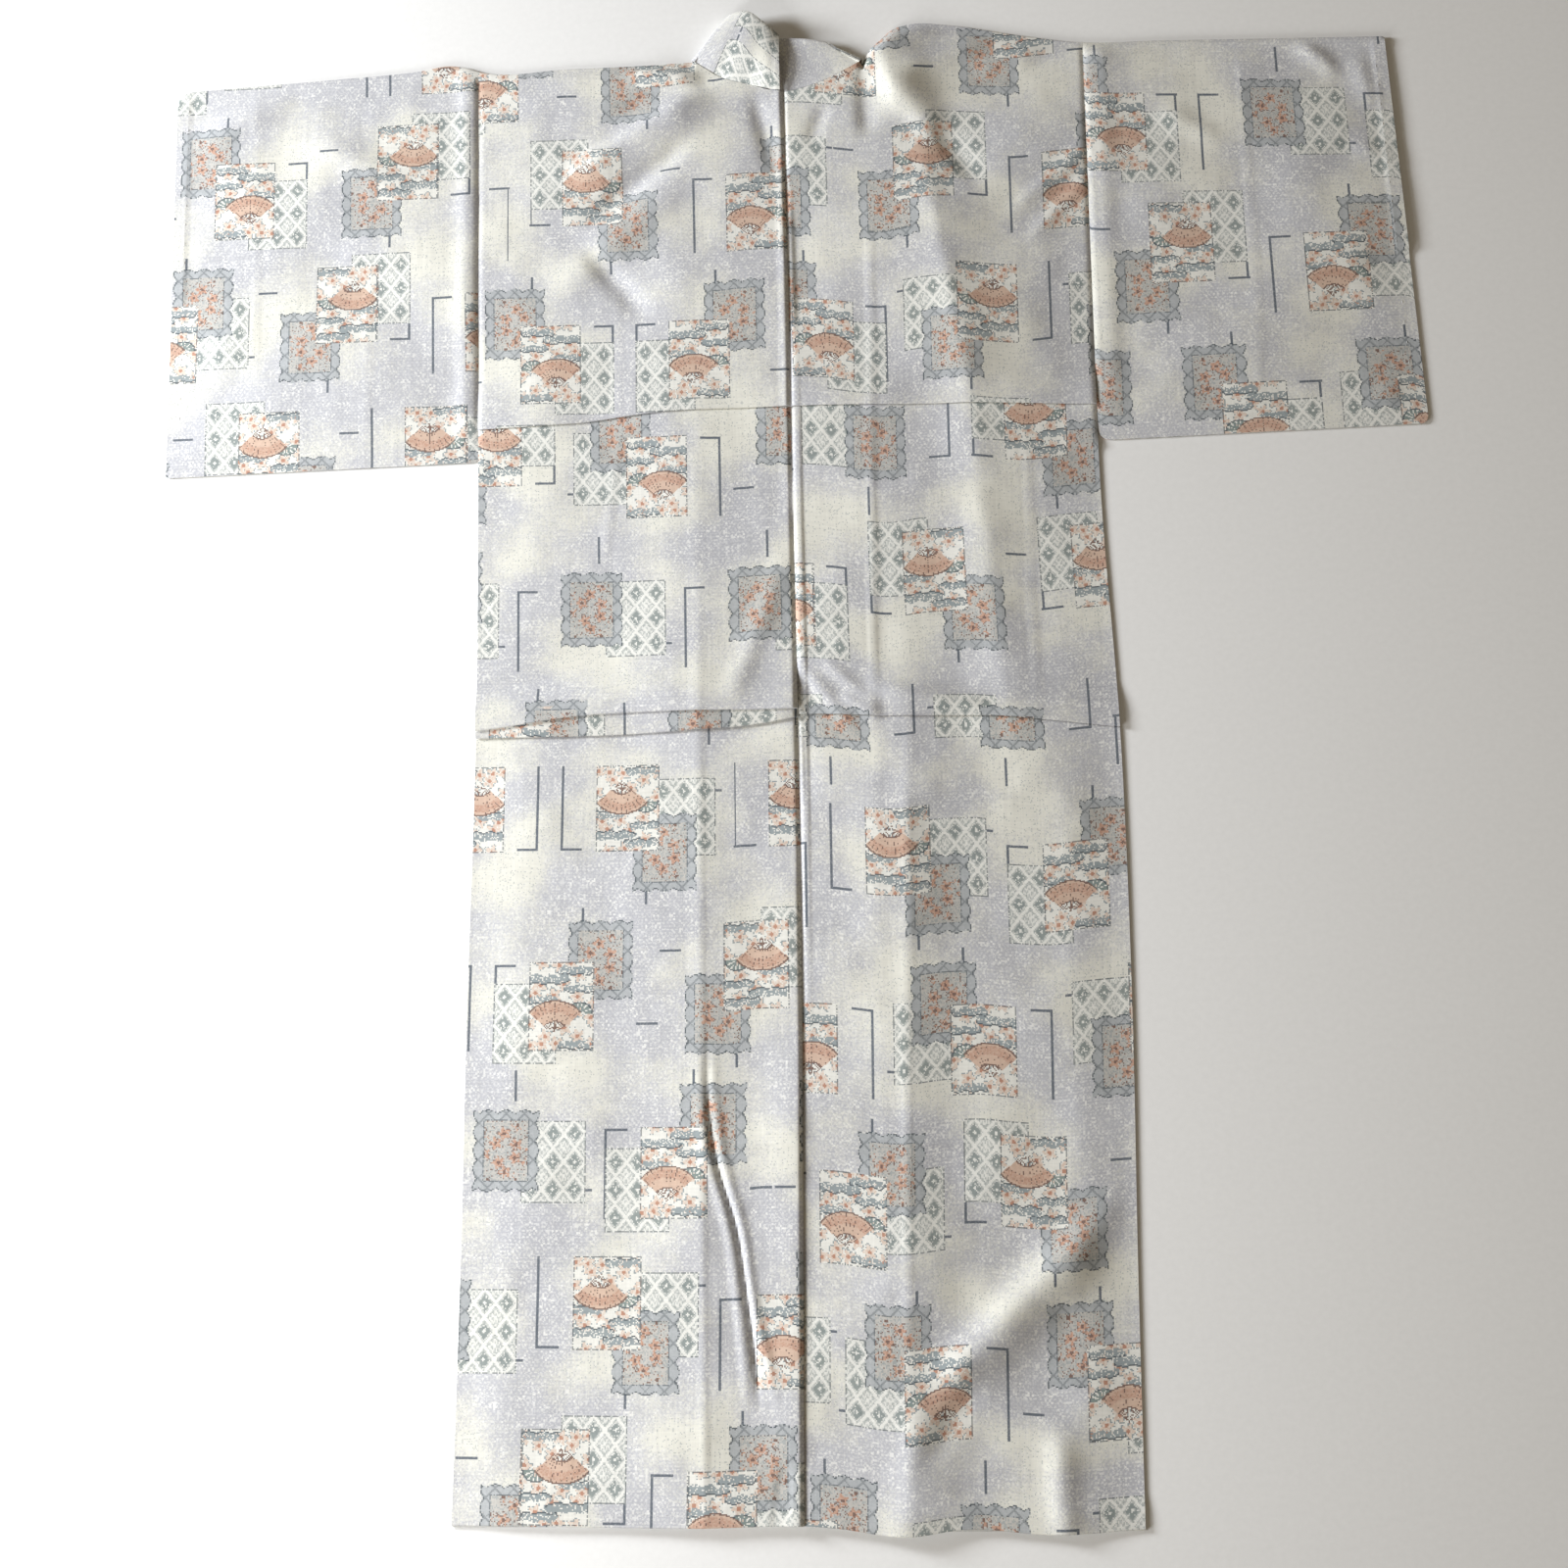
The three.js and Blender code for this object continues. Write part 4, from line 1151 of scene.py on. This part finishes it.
def build_fan_card(blossoms):
    """A white card with an open folding fan, bars of mist, a pine crown and blossoms."""
    tree, at, out = new_group("fan_card", CARD, COLOURED)
    x, y, fine = at["X"], at["Y"], at["Fine"]

    flowers = place_group(tree, blossoms, Across=x + 4, Along=y - 3, Size=16.0)
    shade = paint(INK["white"], INK["peach"], flowers["Petals"] * ramp(fine, -0.4, 0.8) * 0.8)
    shade = paint(shade, INK["cloud"], flowers["Rim"] * (fine > 0.45))
    shade = paint(shade, INK["terracotta"], flowers["Heart"])

    for bar_x, bar_y, half_long, half_wide in MIST:
        past = (abs(x - bar_x) - half_long) | 0.0
        off = (y - bar_y) + (x * 0.45).sine() * 0.9
        reach = distance(past, off)
        shade = paint(shade, INK["cloud"], (reach < half_wide) * (fine > 0.22))
        rim = between(reach, half_wide - MIST_LINE, half_wide) * (off < 0.0)
        shade = paint(shade, INK["outline"], rim)

    crown_x, crown_y = x + 17, y + 6
    crown = (crown_x * crown_x + crown_y * crown_y * 1.4).root()
    needles = (crown_y.arctan(crown_x) * 13).sine() > -0.45
    half_crown = crown_y > -1.0
    shade = paint(shade, INK["pine"], (crown < PINE_REACH) * half_crown * needles)
    shade = paint(shade, INK["outline"], between(crown, PINE_REACH - PINE_LINE, PINE_REACH) * half_crown)

    fan_x, fan_y = x - FAN_PIVOT[0], y - FAN_PIVOT[1]
    radius = distance(fan_x, fan_y)
    angle = fan_x.arctan(fan_y)
    open_fan = abs(angle) < FAN_HALF
    blade = (angle / FAN_BLADE).fraction()
    tint = paint(INK["peach"], INK["terracotta"], between(radius, *FAN_BAND) * ramp(fine, -0.2, 1.3))
    tint = paint(tint, INK["brown"], (blade < 0.2) * (fine > 0.5))
    shade = paint(shade, tint, between(radius, *FAN_LEAF) * open_fan)
    outer_rim, inner_rim = (between(radius, *rim) for rim in FAN_RIMS)
    ribs = (radius < FAN_LEAF[0]) * (blade < 0.4)
    shade = paint(shade, INK["brown"], (outer_rim | inner_rim | ribs) * open_fan)

    shade = outlined(shade, x, y, *FAN_CARD, fine > 0.3)
    return lay_card(tree, at, out, shade, box(x, y, *FAN_CARD))


# The groups of cards: how far apart they stand, and how far each row is shifted against the one below
PITCH_X = 166
PITCH_Y = 154
ROW_SHIFT = 23
DOT = 1.2
# The cards of a group, the lowest first: its place, and how far the throw of the dice named moves it
Card = namedtuple("Card", "x y throw dx dy")
CARDS = [Card(42, -34, "apart", -88, 26), Card(-2, 2, "paired", -26, 24), Card(-192, -18, "paired", 200, 0)]
APART_OVER = 0.42
PAIRED_UNDER = 0.82
# The bracket lines of a group
Line = namedtuple("Line", "x y half_x half_y")
LINES = [Line(71, -20, 1.2, 40), Line(62, 21, 10.5, 1.2), Line(-72, -34, 10, 1.2), Line(-10, 62, 1.2, 14)]


def build_print(ground, lattice, scallop, fan):
    """The whole print: groups of cards and bracket lines over the sprayed ground, mirrored at random."""
    tree, at, out = new_group("card_print", ON_CUT, COLOURED)
    x, y = at["Across"], at["Along"]
    shade = place_group(tree, ground, Across=x, Along=y)["Color"]
    fine = grain(x, y, DOT, 7)
    x = (x / DOT).floor() * DOT
    y = (y / DOT).floor() * DOT

    row = (y / PITCH_Y).floor()
    shifted = x + (row / 2).fraction() * PITCH_X + row * ROW_SHIFT
    column = (shifted / PITCH_X).floor()
    dice = tree.nodes.new("ShaderNodeTexWhiteNoise")
    dice.noise_dimensions = "2D"
    feed(tree, vector_of(column + 0.5, row + 0.5), dice.inputs["Vector"])
    parts = tree.nodes.new("ShaderNodeSeparateColor")
    tree.links.new(dice.outputs["Color"], parts.inputs[0])
    throws = [Field(tree, socket) for socket in parts.outputs]
    flip_x = (throws[0] > 0.5) * 2 - 1
    flip_y = (throws[1] > 0.5) * 2 - 1
    local_x = (shifted - (column + 0.5) * PITCH_X) * flip_x
    local_y = (y - (row + 0.5) * PITCH_Y) * flip_y

    lines = reduce(or_, (box(local_x - line.x, local_y - line.y, line.half_x, line.half_y) for line in LINES))
    shade = paint(shade, INK["bracket"], lines * ramp(fine, -1.2, 0.3))
    thrown = {"apart": throws[2] > APART_OVER, "paired": throws[2] < PAIRED_UNDER}
    for group, card in zip((lattice, scallop, fan), CARDS):
        card_x = local_x - (thrown[card.throw] * card.dx + card.x)
        card_y = local_y - (thrown[card.throw] * card.dy + card.y)
        shade = place_group(tree, group, X=card_x, Y=card_y, Under=shade, Fine=fine)["Color"]
    feed(tree, shade, out.inputs["Color"])
    return tree


# The weave: how far apart its threads are, how deep it is, and how strongly it shows
THREADS_EVERY = 0.8
WEAVE_DEPTH = 0.2
WEAVE_STRENGTH = 0.35
TO_MM = 1000


def build_weave():
    """Plain weave: threads that cross, with a slub here and there."""
    tree, at, out = new_group("plain_weave", ON_CUT, {"Height": "value", "Tone": "value"})
    x, y = at["Across"], at["Along"]
    warp, weft = ((place * (2 * pi / THREADS_EVERY)).sine() for place in (x, y))
    slub = noise(x * 0.12, y, 2.4, 2, 0.6, 3)
    streak = noise(x, y * 0.035, 2.4, 2, 0.6, 6)
    feed(tree, warp * weft * 0.3 + slub * 0.8 + streak * 0.5, out.inputs["Height"])
    feed(tree, slub * 0.5 + streak * 0.5, out.inputs["Tone"])
    return tree


def new_material(name, **values):
    """A material, its tree and its shader, set to the values by the names of its sockets."""
    material = bpy.data.materials.new(name)
    material.use_nodes = True
    shader = material.node_tree.nodes["Principled BSDF"]
    for label, value in values.items():
        shader.inputs[label.replace("_", " ")].default_value = value
    return material, material.node_tree, shader


def cotton(name, printed, weave, reverse):
    """Printed cotton: matt, faintly fuzzy, and paler on its reverse."""
    material, tree, shader = new_material(
        name, Roughness=0.86, Specular_IOR_Level=0.25, Sheen_Weight=0.12, Sheen_Roughness=0.6
    )
    cut = tree.nodes.new("ShaderNodeUVMap")
    cut.uv_map = "Print"
    x, y = (place * TO_MM for place in flat_place(tree, cut.outputs[0]))
    shade = place_group(tree, printed, Across=x, Along=y)["Color"]
    threads = place_group(tree, weave, Across=x, Along=y)
    if reverse:
        shade = paint(shade, INK["white"], ramp(threads["Tone"], -0.5, 1.5))
    toned = tree.nodes.new("ShaderNodeHueSaturation")
    feed(tree, shade, toned.inputs["Color"])
    feed(tree, ramp(threads["Tone"], 0.3, 0.7) * 0.2 + 0.9, toned.inputs["Value"])
    tree.links.new(toned.outputs[0], shader.inputs["Base Color"])
    bump = tree.nodes.new("ShaderNodeBump")
    bump.inputs["Strength"].default_value = WEAVE_STRENGTH
    bump.inputs["Distance"].default_value = WEAVE_DEPTH * MM
    feed(tree, threads["Height"], bump.inputs["Height"])
    tree.links.new(bump.outputs[0], shader.inputs["Normal"])
    return material


# Sewing thread

TWIST_EVERY = 0.7
STITCH = Vector((2.6, 0.6, 0.5))
STITCH_EVERY = 21
SEAM_TO_STITCH = 12
ON_CLOTH = CLOTH / 2 + 0.05


def on_object(tree):
    """The X and Y of a point on its object, in metres."""
    return flat_place(tree, tree.nodes.new("ShaderNodeTexCoord").outputs["Object"])


def twisted_thread():
    """Matt cotton thread, its two plies wound round each other drawn as painted shade: lighter on each ply
    and darker in the groove between them.
    """
    material, tree, shader = new_material("sewing_thread", Roughness=0.8)
    x, y = (part * TO_MM for part in on_object(tree))
    # Painted shade of the twist: grey in the grooves between the plies, white on their crests
    ply_shading = ((x + y) * (2 * pi / TWIST_EVERY)).sine()
    feed(tree, paint(INK["shade"], INK["white"], ramp(ply_shading, -1, 1)), shader.inputs["Base Color"])
    return material


def hem_stitches(side):
    """Where the stitches of the back hem lie, on one side of the centre seam."""
    x = np.arange(SEAM_TO_STITCH, abs(side_at(side, HEM["y"][0])) - SEAM_TO_STITCH, STITCH_EVERY) * side
    y = HEM_CURVE(x) + HEM_DEPTH - 1
    return [(*place, 0) for place in zip(x, y, back_height(x, y) + HEM_LIFT + ON_CLOTH)]


def mouth_stitches(side):
    """Where the stitches of a sleeve's mouth lie, on its back."""
    sleeve = SLEEVES[side]
    inside = SLEEVE_WIDTH - MOUTH_HEM + 1
    y = np.arange(sleeve.bottom_out + 2 * STITCH_EVERY, -STITCH_EVERY, STITCH_EVERY)
    x = sleeve_x(sleeve, y, inside)
    return [(*place, pi / 2) for place in zip(x, y, sleeve_height(sleeve, x, y, inside) + ON_CLOTH)]


def sew(name, places, thread):
    """A row of small stitches, one at every place."""
    bpy.ops.object.select_all(action="DESELECT")
    bpy.ops.mesh.primitive_uv_sphere_add(segments=10, ring_count=6, radius=0.5)
    row = bpy.context.object
    row.name = row.data.name = name
    shape = bmesh.new()
    for x, y, z, turn in places:
        stitch = row.data.copy()
        size = Matrix.Diagonal((*(STITCH * MM), 1))
        place = Matrix.Translation(part_place((x, y, z)))
        stitch.transform(place @ Matrix.Rotation(turn, 4, "Z") @ size)
        shape.from_mesh(stitch)
        bpy.data.meshes.remove(stitch)
    shape.to_mesh(row.data)
    shape.free()
    row.data.materials.append(thread)
    bpy.ops.object.shade_smooth()
    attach(row, "root")
    return row


# Putting the robe together


# Each kind of sheet: how its cloth is laid out, its cut in metres, how it lies, and the stitches on it
Kind = namedtuple("Kind", "lay flat held area stitches places", defaults=(None, None))
KINDS = {
    "body": Kind(body_length, (0.310, 3.02), "laid", 0.88, "hem_stitches", hem_stitches),
    "overlap": Kind(front_overlap, (0.152, 1.21), "laid", 0.18),
    "collar": Kind(collar_half, (0.112, 0.86), "folded", 0.094),
    "sleeve": Kind(sleeve_length, (0.312, 0.85), "folded", 0.262, "mouth_stitches", mouth_stitches),
}
# Where on the printed cloth each piece was cut
PRINT_OFFSETS = {
    "body_left": (0, 40),
    "body_right": (1400, 390),
    "overlap_left": (2600, 100),
    "overlap_right": (3900, 700),
    "collar_left": (5528, 544),
    "collar_right": (8940, 185),
    "sleeve_left": (7700, 120),
    "sleeve_right": (9100, 610),
}


def dress_robe():
    """Lay every length of cloth over its solid."""
    blossoms = build_blossoms()
    printed = build_print(
        build_ground(), build_lattice_card(), build_scallop_card(blossoms), build_fan_card(blossoms)
    )
    weave = build_weave()
    materials = [
        cotton(name, printed, weave, reverse)
        for name, reverse in (("printed_cotton", False), ("reverse_cotton", True))
    ]
    thread = twisted_thread()
    pieces = [(kind, side, name) for kind in KINDS for side, name in ((-1, "left"), (1, "right"))]
    for kind, side, name in pieces:
        cut = KINDS[kind]
        if cut.stitches:
            sew(f"{cut.stitches}_{name}", cut.places(side), thread)
    for kind, side, name in pieces:
        cut = KINDS[kind]
        node = f"{kind}_{name}"
        rows, across, along, keep = cut.lay(side)
        shift_x, shift_y = PRINT_OFFSETS[node]
        piece = lay_cloth(node + "_cloth", rows, across + shift_x, along + shift_y, materials, keep)
        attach(piece, "root")
        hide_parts(node)


# Studio

FLOOR_SIZE = 12
FLOOR_Z = -0.0005
MOTTLE_SIZE = 0.006
# Each lamp's place, size, power and colour, all aimed at the middle of the robe
LAMPS = {
    "window": ((-2.5, 0.75, 0.85), 0.7, 115, (0.96, 0.99, 1.03)),
    "far_window": ((-1.5, -1.2, 0.8), 0.8, 31, (0.98, 0.99, 1.0)),
}
ROOM_COLOUR = (1.0, 0.84, 0.62, 1)
ROOM_STRENGTH = 0.17
CAMERA_PLACE = (0.134, -0.470, 2.040)
CAMERA_TURN = (("Y", 3.87), ("X", 11.36), ("Z", -0.78))
LENS, SENSOR = 50, 36


def pale_paper():
    """Matt white paper, with a faint mottle of its fibres."""
    material, tree, shader = new_material("pale_paper", Roughness=0.9)
    x, y = on_object(tree)
    mottle = ramp(noise(x, y, MOTTLE_SIZE, 3.0, 0.6), 0.3, 0.7)
    feed(tree, paint(colour("F5F5F4"), colour("F9F9F8"), mottle), shader.inputs["Base Color"])
    return material


def place_in_scene(name, data):
    holder = bpy.data.objects.new(name, data)
    bpy.context.collection.objects.link(holder)
    return holder


def set_studio():
    """A plain pale floor, soft light from two windows on the left, and the camera above the robe."""
    bpy.ops.object.select_all(action="DESELECT")
    bpy.ops.mesh.primitive_plane_add(size=FLOOR_SIZE, location=(0, 0, FLOOR_Z))
    floor = bpy.context.object
    floor.name = "floor"
    floor.data.materials.append(pale_paper())

    for name, (place, size, power, tint) in LAMPS.items():
        lamp = bpy.data.lights.new(name, "AREA")
        lamp.size, lamp.energy, lamp.color = size, power, tint
        holder = place_in_scene(name, lamp)
        holder.location = place
        holder.rotation_euler = (-Vector(place)).to_track_quat("-Z", "Y").to_euler()
    world = bpy.context.scene.world or bpy.data.worlds.new("world")
    bpy.context.scene.world = world
    world.use_nodes = True
    background = world.node_tree.nodes["Background"]
    background.inputs["Color"].default_value = ROOM_COLOUR
    background.inputs["Strength"].default_value = ROOM_STRENGTH
    bpy.context.scene.view_settings.view_transform = "Standard"

    data = bpy.data.cameras.new("camera")
    data.lens, data.sensor_width = LENS, SENSOR
    camera = place_in_scene("camera", data)
    turn = Matrix()
    for axis, degrees in CAMERA_TURN:
        turn = turn @ Matrix.Rotation(radians(degrees), 4, axis)
    camera.matrix_world = Matrix.Translation(CAMERA_PLACE) @ turn
    bpy.context.scene.camera = camera


set_studio()
dress_robe()
